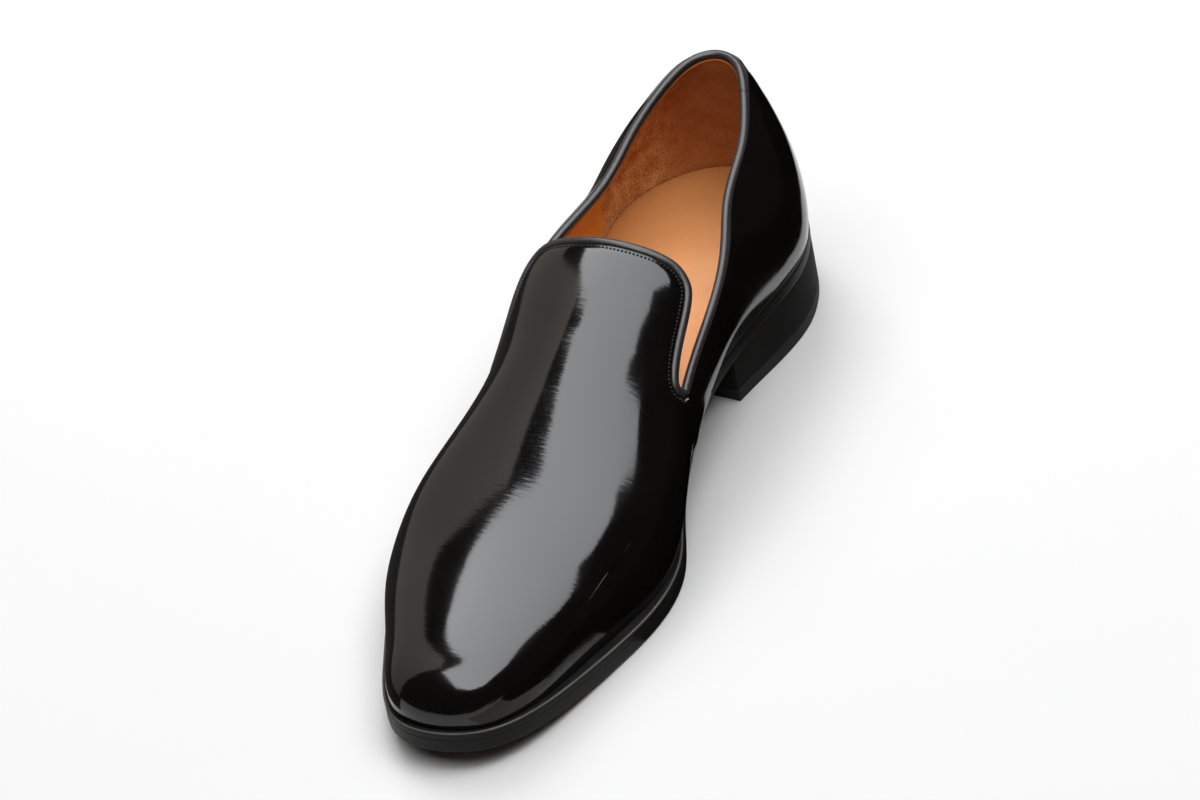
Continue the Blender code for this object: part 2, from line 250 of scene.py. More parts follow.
BACK_CURVE = rows_of(
    LeanRow,
    (0.030, 0.0020),
    (0.040, 0.0004),
    (0.048, 0.0000),
    (0.060, 0.0008),
    (0.072, 0.0024),
    (0.082, 0.0044),
    (0.100, 0.0090),
)
COLLAR = rows_of(
    CollarRow,
    (0.0015, 0.0834, 0.0834),
    (0.0100, 0.0824, 0.0827),
    (0.0210, 0.0797, 0.0798),
    (0.0410, 0.0735, 0.0727),
    (0.0610, 0.0680, 0.0668),
    (0.0980, 0.0606, 0.0598),
    (0.1250, 0.0534, 0.0518),
    (0.1500, 0.0431, 0.0421),
)
TAB = rows_of(
    TabRow,
    (27.0, 0.1415, 0.1397),
    (31.0, 0.1289, 0.1313),
    (36.0, 0.1193, 0.1223),
    (41.0, 0.1162, 0.1167),
    (47.0, 0.1146, 0.1140),
    (56.0, 0.1143, 0.1137),
    (72.0, 0.1152, 0.1151),
    (90.0, 0.1155, 0.1155),
)
FINE_STEPS = ToplineSteps(600, 60, 400)


def spline(places: Sequence[float], values: Sequence[float], at: Array) -> Array:
    """Read a natural cubic spline through the values at other places.

    Args:
        places: Where the values are given, rising.
        values: The values there.
        at: The places to read.

    Returns:
        The spline's values.
    """
    places, values = np.asarray(places, float), np.asarray(values, float)
    at = np.asarray(at, float)
    steps = np.diff(places)
    count = len(places)
    matrix = np.eye(count)
    bends = np.zeros(count)
    for i in range(1, count - 1):
        matrix[i, i - 1 : i + 2] = steps[i - 1], 2 * (steps[i - 1] + steps[i]), steps[i]
        rise_after = (values[i + 1] - values[i]) / steps[i]
        rise_before = (values[i] - values[i - 1]) / steps[i - 1]
        bends[i] = 6 * (rise_after - rise_before)
    bends = np.linalg.solve(matrix, bends)
    i = np.clip(np.searchsorted(places, at) - 1, 0, count - 2)
    before, after = (places[i + 1] - at) / steps[i], (at - places[i]) / steps[i]
    curve = (before**3 - before) * bends[i] + (after**3 - after) * bends[i + 1]
    return before * values[i] + after * values[i + 1] + curve * steps[i] ** 2 / 6


def column(table: Sequence[NamedTuple], name: str) -> Array:
    """One named column of a table."""
    return np.array([getattr(row, name) for row in table])


def round_ends(share: Array) -> Array:
    """A share of a length as an angle, so that widths read against it close in round ends."""
    return np.arccos(np.clip(1 - 2 * np.asarray(share, float), -1, 1))


def turned(angle: Array) -> Array:
    """The share of a length that an angle stands for."""
    return (1 - np.cos(angle)) / 2


def unit(vectors: Array) -> Array:
    """Vectors scaled to a length of 1."""
    return vectors / np.maximum(np.linalg.norm(vectors, axis=-1, keepdims=True), NO_LENGTH)


def bell(distance: Array, width: float) -> Array:
    """A smooth bump of height 1 that fades over a width."""
    return np.exp(-((distance / width) ** 2))


def smooth_step(value: Array, low: float, high: float) -> Array:
    """0 below low, 1 above high, and smooth between."""
    t = np.clip((value - low) / (high - low), 0, 1)
    return t * t * (3 - 2 * t)


def arc_lengths(points: Array) -> Array:
    """Length along a line of points, from its first point to each."""
    return np.concatenate([[0.0], np.cumsum(np.linalg.norm(np.diff(points, axis=0), axis=1))])


def inset_sides(outer: Array, inner: Array, distance: float) -> Pair:
    """Both sides of a plan outline, from heel to toe, moved inward square to the edge.

    Args:
        outer: Points of the outer side.
        inner: Points of the inner side.
        distance: How far inward.

    Returns:
        The moved sides.
    """
    loop = np.concatenate([outer, inner[-2:0:-1]])
    tangent = unit(np.roll(loop, -1, axis=0) - np.roll(loop, 1, axis=0))
    moved = loop + np.stack([tangent[:, 1], -tangent[:, 0]], axis=1) * distance
    steps = len(outer)
    return moved[:steps], np.concatenate([moved[:1], moved[: steps - 2 : -1]])


def around(sides: Pair) -> Array:
    """The two sides of an outline as one closed loop, its first point not repeated."""
    return np.concatenate([sides[0], sides[1][-2:0:-1]])


@dataclass(frozen=True)
class LastForm:
    """The form of the last, with the sole's lines under it: the shared shape of every piece."""

    sole_length: float = 0.300
    outsole_thickness: float = 0.0052
    welt_thickness: float = 0.0028
    gap: float = 0.0003
    seat_lift: float = 0.0222
    toe_spring: float = 0.0080
    shank_back: float = 0.18
    shank_front: float = 0.64
    flat_front: float = 0.72
    spring_power: float = 1.8
    upper_back: float = 0.0015
    upper_front: float = 0.2975
    upper_wall: float = 0.0020
    back_curve_reach: float = 0.070
    outer_notch: float = 0.1471
    inner_notch: float = 0.1501
    notch_radius: float = 0.0024
    steepest_tuck: float = 0.95
    tab_ease: float = 1.3
    toe_wall_start: float = 0.60
    toe_wall_full: float = 0.75
    toe_wall_tuck: float = 0.3

    @property
    def upper_length(self) -> float:
        """Length of the upper along the shoe."""
        return self.upper_front - self.upper_back

    @property
    def edge_height(self) -> float:
        """Height of the sole's edge: outsole, gap and welt."""
        return self.outsole_thickness + self.gap + self.welt_thickness

    def underside(self, back: Array) -> Array:
        """Height of the outsole's underside: heel seat, shank, flat forefoot and toe spring."""
        share = np.asarray(back, float) / self.sole_length
        climb = np.clip((self.shank_front - share) / (self.shank_front - self.shank_back), 0, 1)
        spring = np.clip((share - self.flat_front) / (1 - self.flat_front), 0, None)
        return self.seat_lift * climb**2 * (3 - 2 * climb) + self.toe_spring * spring**self.spring_power

    def centre(self, back: Array) -> Array:
        """Sideways place of the centre line."""
        return spline(column(SWAY, "share"), column(SWAY, "x"), np.asarray(back) / self.sole_length)

    def plan_y(self, back: Array) -> Array:
        """Y of a distance from the back of the sole."""
        return self.sole_length / 2 - back

    def plan_back(self, y: Array) -> Array:
        """Distance from the back of the sole of a Y."""
        return self.sole_length / 2 - y

    def back_of(self, share: Array) -> Array:
        """Distance from the back of the sole of a share of the upper's length."""
        return self.upper_back + share * self.upper_length

    def share_of(self, back: Array) -> Array:
        """Share of the upper's length at a distance from the back of the sole."""
        return (back - self.upper_back) / self.upper_length

    def arch(self, share: Array) -> list[Array]:
        """The arch at a share of the upper's length: outer, inner, rise, ridge, slim, offset."""
        places = round_ends(column(ARCHES, "share"))
        angle = round_ends(share)
        return [spline(places, column(ARCHES, name), angle) for name in ArchRow._fields[1:]]

    def wall_foot(self, back: Array) -> Array:
        """Height of the foot of the upper's wall, on the welt."""
        return self.underside(back) + self.edge_height + self.gap

    def foot_angle(self, share: Array) -> Array:
        """How far the arch turns in below its widest place before it meets the welt."""
        _, _, rise, ridge, _, _ = self.arch(share)
        height = ridge - self.wall_foot(self.back_of(share)) - rise
        return np.arcsin(np.clip(rise / np.maximum(height, TINY), 0, self.steepest_tuck))

    def climb_angle(self, share: Array, height: Array) -> Array:
        """The angle of an arch at a height above the floor."""
        _, _, rise, ridge, _, _ = self.arch(share)
        widest = self.wall_foot(self.back_of(share)) + rise
        return np.arcsin(np.clip((height - widest) / (ridge - widest), -1, 1))

    def points(self, share: Array, climb: Array, side: Side) -> Array:
        """Points of the upper's outside.

        Args:
            share: Shares of the upper's length.
            climb: Angles up the arch.
            side: The side they lie on.

        Returns:
            The points, with their coordinates on the last axis.
        """
        outer, inner, rise, ridge, slim, offset = self.arch(share)
        back = self.back_of(share)
        ramp = self.toe_wall_full - self.toe_wall_start
        forward = np.clip((share - self.toe_wall_start) / ramp, 0, 1)
        tuck = 1 + (self.toe_wall_tuck - 1) * forward
        narrowing = (1 - np.cos(climb)) * np.where(climb < 0, tuck, 1)
        across, up = side.value * (1 - narrowing), np.sin(climb)
        mean, skew = (outer + inner) / 2, (outer - inner) / 2
        x = mean * across * (1 - slim * up**2) + skew * across**2 + offset * up * np.abs(up)
        widest = self.wall_foot(back) + rise
        z = widest + (ridge - widest) * up
        fade = np.clip(1 - back / self.back_curve_reach, 0, 1) ** 2
        lean = spline(column(BACK_CURVE, "height"), column(BACK_CURVE, "inward"), z) * fade
        return np.stack([self.centre(back) + x, self.plan_y(back + lean), z], axis=-1)

    def frame_at(self, share: Array, climb: Array, side: Side) -> tuple[Array, Array, Array, Array]:
        """The upper's surface at some places.

        Args:
            share: Shares of the upper's length.
            climb: Angles up the arch.
            side: The side they lie on.

        Returns:
            Points, slopes along the shoe, slopes up the arch and outward normals.
        """
        inside = np.clip(share, TINY, 1 - TINY)
        point = self.points(share, climb, side)
        start = self.points(inside, climb, side)
        ahead = np.where(inside > 0.5, -TINY, TINY)
        along = (self.points(inside + ahead, climb, side) - start) / ahead[..., None]
        over = (self.points(inside, climb + TINY, side) - start) / TINY
        normal = unit(np.cross(over, along) * side.value)
        normal[share < TINY, 0] = 0
        return point, along, over, unit(normal)

    def topline(self, side: Side, steps: ToplineSteps) -> Pair:
        """One side's topline: from the heel along the quarter, round the notch, up the tab to the ridge.

        Args:
            side: The side.
            steps: How many points to take.

        Returns:
            Shares of the upper's length and angles up the arch.
        """
        notch_back = self.outer_notch if side is Side.OUTER else self.inner_notch
        notch_start = notch_back - self.notch_radius
        straight = turned(np.linspace(0, round_ends(self.share_of(notch_start)), steps.quarter))
        bend = np.sin(np.linspace(0, RIDGE_ANGLE, steps.notch + 1)[1:])
        backs = np.concatenate([self.back_of(straight), notch_start + self.notch_radius * bend])
        heights = spline(column(COLLAR, "back"), column(COLLAR, side.column), backs)
        into_notch = np.clip(1 - (notch_back - backs) / self.notch_radius, 0, 1)
        heights = heights + self.notch_radius * (1 - np.sqrt(1 - into_notch**2))
        shares = self.share_of(backs)
        climbs = self.climb_angle(shares, heights)
        first = climbs[-1]
        turn = np.linspace(0, 1, steps.tab + 1)[1:]
        tab_climbs = first + (RIDGE_ANGLE - first) * turn**self.tab_ease
        places = np.concatenate([[math.degrees(first)], column(TAB, "climb")])
        tab_backs = np.concatenate([[notch_back], column(TAB, side.column)])
        tab_shares = self.share_of(spline(places, tab_backs, np.degrees(tab_climbs)))
        return np.concatenate([shares, tab_shares]), np.concatenate([climbs, tab_climbs])

    def moved_into_wall(self, side: Side, steps: ToplineSteps, distance: float) -> Pair:
        """One side's topline moved over the surface, away from the opening.

        Args:
            side: The side.
            steps: How many points to take.
            distance: How far it moves.

        Returns:
            The moved shares and angles.
        """
        shares, climbs = self.topline(side, steps)
        point, along, over, normal = self.frame_at(shares, climbs, side)
        along[0] = 0
        tangent = np.gradient(point, axis=0)
        tangent[0] = (side.value, 0, 0)
        tangent[-1] = (-side.value, 0, 0)
        inward = unit(np.cross(normal, tangent) * side.value) * distance
        for i in range(len(shares)):
            slopes = np.stack([along[i], over[i]], axis=1)
            move = np.linalg.lstsq(slopes, inward[i], rcond=None)[0]
            shares[i] += move[0]
            climbs[i] += move[1]
        shares[0] = 0.0
        climbs[-1] = RIDGE_ANGLE
        return shares, climbs

    def sole_sides(self, steps: int, inset: float = 0.0) -> Pair:
        """The sole's outline in plan, moved inward square to its edge.

        Args:
            steps: Steps from heel to toe.
            inset: How far inward.

        Returns:
            The outer and the inner side, from heel to toe.
        """
        angle = np.linspace(0, math.pi, steps + 1)
        places = round_ends(column(OUTLINE, "share"))
        backs = turned(angle) * self.sole_length
        sides = []
        for side in Side:
            half = spline(places, column(OUTLINE, side.column), angle)
            sides.append(np.stack([self.centre(backs) + side.value * half, self.plan_y(backs)], axis=1))
        return inset_sides(*sides, inset)


LAST = LastForm()


class SheetMaker:
    """Collects grids of points, with values at each point, and joins them into one mesh."""

    def __init__(self) -> None:
        """Start with nothing."""
        self.points: list[Array] = []
        self.faces: list[Array] = []
        self.values: dict[str, list[Array]] = {}
        self.count = 0

    def grid(self, points: Array, flip: bool = False, closed: bool = False, **values: Array) -> None:
        """Add a grid of points and the faces between them.

        Args:
            points: The grid, rows by columns by coordinates.
            flip: Turn the faces round.
            closed: Join each row's end to its start.
            values: Values at the points, by name.
        """
        rows, columns = points.shape[:2]
        index = np.arange(rows * columns).reshape(rows, columns) + self.count
        if closed:
            index = np.concatenate([index, index[:, :1]], axis=1)
        corners = [index[:-1, :-1], index[1:, :-1], index[1:, 1:], index[:-1, 1:]]
        faces = np.stack(corners[::-1] if flip else corners, axis=-1).reshape(-1, 4)
        self.points.append(points.reshape(-1, 3))
        self.faces.append(faces)
        for name, value in values.items():
            self.values.setdefault(name, []).append(np.broadcast_to(value, (rows, columns)).ravel())
        self.count += rows * columns

    def mesh(self, name: str) -> Mesh:
        """Join the grids, with doubles merged and shaded smooth."""
        data = bpy.data.meshes.new(name)
        data.from_pydata(np.concatenate(self.points).tolist(), [], np.concatenate(self.faces).tolist())
        for value_name, parts in self.values.items():
            layer = data.attributes.new(value_name, "FLOAT", "POINT")
            layer.data.foreach_set("value", np.concatenate(parts).astype(np.float32))
        work = bmesh.new()
        work.from_mesh(data)
        bmesh.ops.remove_doubles(work, verts=work.verts, dist=MERGE_DISTANCE)
        bmesh.ops.dissolve_degenerate(work, dist=COLLAPSE_DISTANCE, edges=work.edges)
        work.to_mesh(data)
        work.free()
        data.shade_smooth()
        return data


def new_piece(data: Mesh, material: Material) -> Piece:
    """Make an object of a mesh, with one material, in the scene."""
    piece = bpy.data.objects.new(data.name, data)
    data.materials.append(material)
    bpy.context.scene.collection.objects.link(piece)
    return piece


def settle(piece: Piece) -> Piece:
    """Turn a piece with modifiers into a plain mesh."""
    graph = bpy.context.evaluated_depsgraph_get()
    evaluated = piece.evaluated_get(graph)
    data = bpy.data.meshes.new_from_object(evaluated, preserve_all_data_layers=True, depsgraph=graph)
    piece.modifiers.clear()
    old = piece.data
    piece.data = data
    bpy.data.meshes.remove(old)
    data.name = piece.name
    return piece


def thicken(piece: Piece, thickness: float) -> Piece:
    """Give an open sheet a wall behind its faces, and close its rims with sharp edges."""
    wall = piece.modifiers.new("wall", "SOLIDIFY")
    wall.thickness = thickness
    wall.offset = -1
    settle(piece)
    piece.data.set_sharp_from_angle(angle=SHARP_ANGLE)
    return piece


def declare(piece: Piece, slot: str, *nodes: str) -> None:
    """Make a piece ride on the shoe, log it with its slot, and hide the nodes it stands for.

    Args:
        piece: The finished piece.
        slot: The record's material slot.
        nodes: Nodes that the piece replaces.
    """
    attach(piece, BODY)
    if nodes:
        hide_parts(*nodes)
    LOG.info("%s: %d faces, slot %s", piece.name, len(piece.data.polygons), slot)


class Socket(Enum):
    """Kinds of socket on a node group's interface."""

    VALUE = "NodeSocketFloat"
    SHAPE = "NodeSocketGeometry"
    MATERIAL = "NodeSocketMaterial"


class Tree:
    """A node tree that is filled by short calls."""

    def __init__(self, tree: NodeTree) -> None:
        """Hold the tree."""
        self.tree = tree

    def add(self, kind: str, settings: dict | None = None, **inputs: object) -> bpy.types.Node:
        """Add a node.

        Args:
            kind: The node's type.
            settings: Properties of the node.
            inputs: Values or output sockets for its inputs, named with _ for spaces.

        Returns:
            The node.
        """
        node = self.tree.nodes.new(kind)
        for name, value in (settings or {}).items():
            setattr(node, name, value)
        for name, value in inputs.items():
            self.feed(node.inputs[name.replace("_", " ")], value)
        return node

    def feed(self, socket: NodeSocket, value: object) -> None:
        """Link an output to a socket, or set the socket's own value."""
        if isinstance(value, NodeSocket):
            self.tree.links.new(value, socket)
        else:
            socket.default_value = value

    def math(self, operation: str, *terms: object) -> NodeSocket:
        """A Math node on some terms; its output."""
        node = self.tree.nodes.new("ShaderNodeMath")
        node.operation = operation
        for socket, term in zip(node.inputs, terms):
            self.feed(socket, term)
        return node.outputs[0]

    def spread(
        self, value: object, start: float, end: float, low: float = 0.0, high: float = 1.0
    ) -> NodeSocket:
        """A value's range from start to end stretched to run from low to high, and clamped."""
        node = self.add("ShaderNodeMapRange", None, Value=value)
        for socket, limit in zip(node.inputs[1:5], (start, end, low, high)):
            socket.default_value = limit
        return node.outputs[0]

    def blend(self, share: object, first: object, second: object) -> NodeSocket:
        """A colour between two; the Mix node's colour output."""
        node = self.tree.nodes.new("ShaderNodeMix")
        node.data_type = "RGBA"
        self.feed(node.inputs[0], share)
        self.feed(node.inputs[6], first)
        self.feed(node.inputs[7], second)
        return node.outputs[2]


class EffectGroups:
    """Shader node groups that several finishes share, each made once."""

    PEBBLE_SMOOTHNESS = 0.6
    SOFT_SCALE = 0.18
    CLOUD_SHARE = 0.7
    MOTTLE_RANGE = (0.32, 0.68)
    RIPPLE_STRETCH = (0.22, 1.0, 0.5)
    FIBRE_SHARE = 0.62
    TIP_RANGE = (0.40, 0.66)
    PATCH_RELIEF = 0.8

    def __init__(self) -> None:
        """Make the groups."""
        self.grain = self.make_grain()
        self.mottle = self.make_mottle()
        self.ripple = self.make_ripple()
        self.nap = self.make_nap()

    @staticmethod
    def start(name: str, inputs: dict[str, float], *outputs: str) -> tuple[Tree, dict, dict]:
        """Start a group with named values in and out.

        Args:
            name: The group's name.
            inputs: Input values with their defaults.
            outputs: Names of the output values.

        Returns:
            The tree, its input sockets and its output sockets, by name.
        """
        group = bpy.data.node_groups.new(name, "ShaderNodeTree")
        for label, value in inputs.items():
            socket = group.interface.new_socket(label, in_out="INPUT", socket_type=Socket.VALUE.value)
            socket.default_value = value
        for label in outputs:
            group.interface.new_socket(label, in_out="OUTPUT", socket_type=Socket.VALUE.value)
        tree = Tree(group)
        entry, leave = tree.add("NodeGroupInput"), tree.add("NodeGroupOutput")
        return tree, {s.name: s for s in entry.outputs}, {s.name: s for s in leave.inputs}

    @staticmethod
    def place(tree: Tree) -> NodeSocket:
        """The place on a piece."""
        return tree.add("ShaderNodeTexCoord").outputs["Object"]

    @staticmethod
    def noise(tree: Tree, place: NodeSocket, scale: object, detail: float) -> NodeSocket:
        """Noise at a place and a scale; its value."""
        return tree.add("ShaderNodeTexNoise", None, Vector=place, Scale=scale, Detail=detail).outputs[0]

    @staticmethod
    def mixed(tree: Tree, first: NodeSocket, second: NodeSocket, share: float) -> NodeSocket:
        """Two values added, the first one by a share and the second one by the rest."""
        parts = tree.math("MULTIPLY", first, share), tree.math("MULTIPLY", second, 1 - share)
        return tree.math("ADD", *parts)

    def make_grain(self) -> NodeTree:
        """Leather grain: small pebbles with creases between, over a softer unevenness."""
        tree, ins, outs = self.start("leather_grain", {"Pebbles": 1400.0, "Unevenness": 0.35}, "Height")
        place = self.place(tree)
        pebble = tree.add("ShaderNodeTexVoronoi", {"feature": "SMOOTH_F1"}, Vector=place)
        tree.feed(pebble.inputs["Scale"], ins["Pebbles"])
        tree.feed(pebble.inputs["Smoothness"], self.PEBBLE_SMOOTHNESS)
        soft = self.noise(tree, place, tree.math("MULTIPLY", ins["Pebbles"], self.SOFT_SCALE), 3.0)
        height = tree.math("SUBTRACT", 1.0, pebble.outputs["Distance"])
        uneven = tree.math("MULTIPLY", soft, ins["Unevenness"])
        tree.feed(outs["Height"], tree.math("ADD", height, uneven))
        return tree.tree

    def make_mottle(self) -> NodeTree:
        """Unevenness of colour: soft clouds with a finer speckle, from 0 to 1."""
        tree, ins, outs = self.start("mottle", {"Clouds": 60.0, "Speckle": 900.0}, "Mask")
        place = self.place(tree)
        cloud = self.noise(tree, place, ins["Clouds"], 4.0)
        speck = self.noise(tree, place, ins["Speckle"], 2.0)
        mask = self.mixed(tree, cloud, speck, self.CLOUD_SHARE)
        tree.feed(outs["Mask"], tree.spread(mask, *self.MOTTLE_RANGE))
        return tree.tree

    def make_ripple(self) -> NodeTree:
        """The ripple of a lacquer film over grain: a short wave, drawn out across, and a longer one."""
        waves = {"Short": 900.0, "Long": 170.0, "Long Share": 0.35}
        tree, ins, outs = self.start("lacquer_ripple", waves, "Height")
        place = self.place(tree)
        drawn = tree.add("ShaderNodeVectorMath", {"operation": "MULTIPLY"})
        tree.feed(drawn.inputs[0], place)
        tree.feed(drawn.inputs[1], self.RIPPLE_STRETCH)
        short = self.noise(tree, drawn.outputs[0], ins["Short"], 3.0)
        long = tree.math("MULTIPLY", self.noise(tree, place, ins["Long"], 1.0), ins["Long Share"])
        tree.feed(outs["Height"], tree.math("ADD", short, long))
        return tree.tree

    def make_nap(self) -> NodeTree:
        """Raised fibres: a speckle of tips over patches, which carries the nap's painted highlight, and
        its height.
        """
        tree, ins, outs = self.start("nap", {"Fibres": 1500.0, "Patches": 160.0}, "Tips", "Height")
        place = self.place(tree)
        fibre = self.noise(tree, place, ins["Fibres"], 3.0)
        patch = self.noise(tree, place, ins["Patches"], 3.0)
        tips = self.mixed(tree, fibre, patch, self.FIBRE_SHARE)
        tree.feed(outs["Tips"], tree.spread(tips, *self.TIP_RANGE))
        patch_height = tree.math("MULTIPLY", patch, self.PATCH_RELIEF)
        tree.feed(outs["Height"], tree.math("ADD", fibre, patch_height))
        return tree.tree


GROUPS = EffectGroups()


def opaque(colour: Colour) -> tuple[float, float, float, float]:
    """A colour with full alpha."""
    return (*colour, 1.0)


def grey(level: float) -> tuple[float, float, float, float]:
    """A grey with full alpha."""
    return opaque((level, level, level))


class Dresser:
    """Builds one material on a Principled shader."""

    def __init__(self, name: str) -> None:
        """Start a material of a name."""
        self.material = bpy.data.materials.new(name)
        self.material.use_nodes = True
        self.tree = Tree(self.material.node_tree)
        self.shader = self.material.node_tree.nodes["Principled BSDF"]

    def set(self, **inputs: object) -> None:
        """Set or link inputs of the shader, named with _ for spaces."""
        for name, value in inputs.items():
            self.tree.feed(self.shader.inputs[name.replace("_", " ")], value)

    def effect(self, group: NodeTree, output: str, **inputs: object) -> NodeSocket:
        """Place a shared effect, with its own values; one of its outputs."""
        return self.tree.add("ShaderNodeGroup", {"node_tree": group}, **inputs).outputs[output]

    def attribute(self, name: str) -> NodeSocket:
        """A value that is stored on the mesh."""
        return self.tree.add("ShaderNodeAttribute", {"attribute_name": name}).outputs["Fac"]

    def between(self, mask: NodeSocket, low: float, high: float) -> NodeSocket:
        """A value that goes from low to high with a mask."""
        return self.tree.spread(mask, 0.0, 1.0, low, high)

    def shades(self, mask: object, first: object, second: object) -> NodeSocket:
        """A colour that goes from one to another with a mask."""
        plain = [opaque(shade) if isinstance(shade, tuple) else shade for shade in (first, second)]
        return self.tree.blend(mask, *plain)

    def bump(self, height: NodeSocket, depth: float, under: NodeSocket | None = None) -> NodeSocket:
        """A bump of a depth in metres, over another normal if one is given; its normal."""
        node = self.tree.add("ShaderNodeBump", None, Height=height, Distance=depth)
        if under is not None:
            self.tree.feed(node.inputs["Normal"], under)
        return node.outputs[0]


@dataclass(frozen=True)
class Finish:
    """A matt finish with a fine tooth, its colour and roughness uneven; the other kinds build on it."""

    colour: Colour
    cloud_colour: Colour
    roughness: float
    dull_roughness: float
    clouds: float = 60.0
    speckle: float = 900.0
    gloss: float = 0.5
    sheen: float = 0.0
    depth: float = 2e-5

    def material(self, name: str) -> Material:
        """Build the material."""
        dress = Dresser(name)
        mask = dress.effect(GROUPS.mottle, "Mask", Clouds=self.clouds, Speckle=self.speckle)
        dress.set(
            Base_Color=self.tone(dress, mask),
            Roughness=self.dullness(dress, mask),
            Normal=self.relief(dress, mask),
            Specular_IOR_Level=self.gloss,
            Sheen_Weight=self.sheen,
        )
        return dress.material

    def tone(self, dress: Dresser, mask: NodeSocket) -> NodeSocket:
        """The colour."""
        return dress.shades(mask, self.colour, self.cloud_colour)

    def dullness(self, dress: Dresser, mask: NodeSocket) -> NodeSocket:
        """The roughness."""
        return dress.between(mask, self.roughness, self.dull_roughness)

    def relief(self, dress: Dresser, mask: NodeSocket) -> NodeSocket:
        """The normal."""
        return dress.bump(mask, self.depth)


@dataclass(frozen=True)
class PatentFinish(Finish):
    """Leather under a clear lacquer film that mirrors, with a fine ripple."""

    def relief(self, dress: Dresser, mask: NodeSocket) -> NodeSocket:
        """The ripple of the film."""
        return dress.bump(dress.effect(GROUPS.ripple, "Height"), self.depth)


@dataclass(frozen=True)
class GrainFinish(Finish):
    """Plain leather or thread with a grain."""

    pebbles: float = 1800.0

    def grain(self, dress: Dresser, under: NodeSocket | None = None) -> NodeSocket:
        """The grain's normal, over another one if it is given."""
        return dress.bump(dress.effect(GROUPS.grain, "Height", Pebbles=self.pebbles), self.depth, under)

    def relief(self, dress: Dresser, mask: NodeSocket) -> NodeSocket:
        """The grain."""
        return self.grain(dress)


@dataclass(frozen=True)
class LiningFinish(GrainFinish):
    """Lining leather: smooth in front, dull and napped round the heel, raw where it is cut."""

    nap_colour: Colour = (0.420, 0.135, 0.0270)
    # Colour of the fibre tips where light is painted on them.
    nap_light: Colour = (0.96, 0.60, 0.250)
    raw_colour: Colour = (0.50, 0.150, 0.030)
    nap_depth: float = 1.1e-4

    def tone(self, dress: Dresser, mask: NodeSocket) -> NodeSocket:
        """The smooth leather, the nap with its fibre speckle lit by a painted highlight, strongest on the
        inner wall, and the raw edge.
        """
        fibres = dress.effect(GROUPS.nap, "Tips")
        tips = dress.tree.math("MULTIPLY", fibres, dress.attribute("brushed"))
        napped = dress.shades(tips, self.nap_colour, self.nap_light)
        faces = dress.shades(dress.attribute("nap"), super().tone(dress, mask), napped)
        return dress.shades(dress.attribute("raw"), faces, self.raw_colour)

    def dullness(self, dress: Dresser, mask: NodeSocket) -> NodeSocket:
        """The roughness, which goes with the nap."""
        return super().dullness(dress, dress.attribute("nap"))

    def relief(self, dress: Dresser, mask: NodeSocket) -> NodeSocket:
        """The nap's fibres over the grain."""
        raised = dress.tree.math("MULTIPLY", dress.effect(GROUPS.nap, "Height"), dress.attribute("nap"))
        return dress.bump(raised, self.nap_depth, self.grain(dress))


@dataclass(frozen=True)
class EdgeFinish(GrainFinish):
    """Inked, waxed edge of stacked leather: faint lines along it, a painted highlight along the lip, a
    natural underside.
    """

    # Colour of the painted highlight along the welt's lip; the mottle weakens it down to the least share.
    rubbed: Colour = (0.17, 0.165, 0.16)
    rubbed_least: float = 0.45
    natural: Colour = (0.052, 0.029, 0.017)
    natural_cloud: Colour = (0.038, 0.020, 0.012)
    line_depth: float = 2.5e-5
    line_pitch: float = 3000.0
    line_stretch: float = 14.0

    def tone(self, dress: Dresser, mask: NodeSocket) -> NodeSocket:
        """The ink, the natural leather under it, and a painted highlight on the lip."""
        bare = dress.shades(mask, self.natural, self.natural_cloud)
        highlight_strength = dress.between(mask, 1.0, self.rubbed_least)
        lip = dress.tree.math("MULTIPLY", dress.attribute("lip"), highlight_strength)
        faces = dress.shades(dress.attribute("under"), super().tone(dress, mask), bare)
        return dress.shades(lip, faces, self.rubbed)

    def relief(self, dress: Dresser, mask: NodeSocket) -> NodeSocket:
        """The grain over lines along the edge."""
        tree = dress.tree
        along = tree.math("MULTIPLY", dress.attribute("run"), self.line_stretch)
        up = tree.math("MULTIPLY", dress.attribute("level"), self.line_pitch)
        place = tree.add("ShaderNodeCombineXYZ", None, X=along, Y=up).outputs[0]
        return self.grain(dress, dress.bump(GROUPS.noise(tree, place, 1.0, 2.0), self.line_depth))


PATENT = PatentFinish(
    (0.0030, 0.0024, 0.0022),
    (0.0052, 0.0040, 0.0036),
    0.085,
    0.125,
    clouds=45.0,
    speckle=500.0,
    depth=2.3e-5,
)
LINING = LiningFinish(
    (0.78, 0.350, 0.044),
    (0.70, 0.290, 0.033),
    0.50,
    0.95,
    clouds=70.0,
    speckle=1200.0,
    gloss=0.2,
    depth=3e-5,
    pebbles=1500.0,
)
BINDING_LEATHER = GrainFinish(
    (0.014, 0.0108, 0.0116), (0.023, 0.0178, 0.0190), 0.30, 0.42, sheen=0.05, depth=4e-5
)
SOCK_LEATHER = GrainFinish(
    (0.66, 0.282, 0.085), (0.60, 0.245, 0.070), 0.46, 0.56, depth=2.5e-5, pebbles=1500.0
)
SOLE_EDGE = EdgeFinish(
    (0.0095, 0.0085, 0.0082),
    (0.0165, 0.0150, 0.0145),
    0.36,
    0.50,
    clouds=90.0,
    speckle=1500.0,
    gloss=0.13,
    depth=1.5e-5,
    pebbles=900.0,
)
HEEL_EDGE = replace(SOLE_EDGE, roughness=0.60, dull_roughness=0.75, gloss=0.05)
LIFT_RUBBER = Finish(
    (0.008, 0.0075, 0.0075), (0.014, 0.013, 0.013), 0.62, 0.78, clouds=120.0, speckle=2500.0, gloss=0.3
)
BLACK_THREAD = GrainFinish((0.003, 0.0027, 0.0027), (0.006, 0.0055, 0.0055), 0.80, 0.90, pebbles=5000.0)
TAN_THREAD = GrainFinish((0.30, 0.125, 0.042), (0.22, 0.085, 0.028), 0.6, 0.7, pebbles=5000.0)


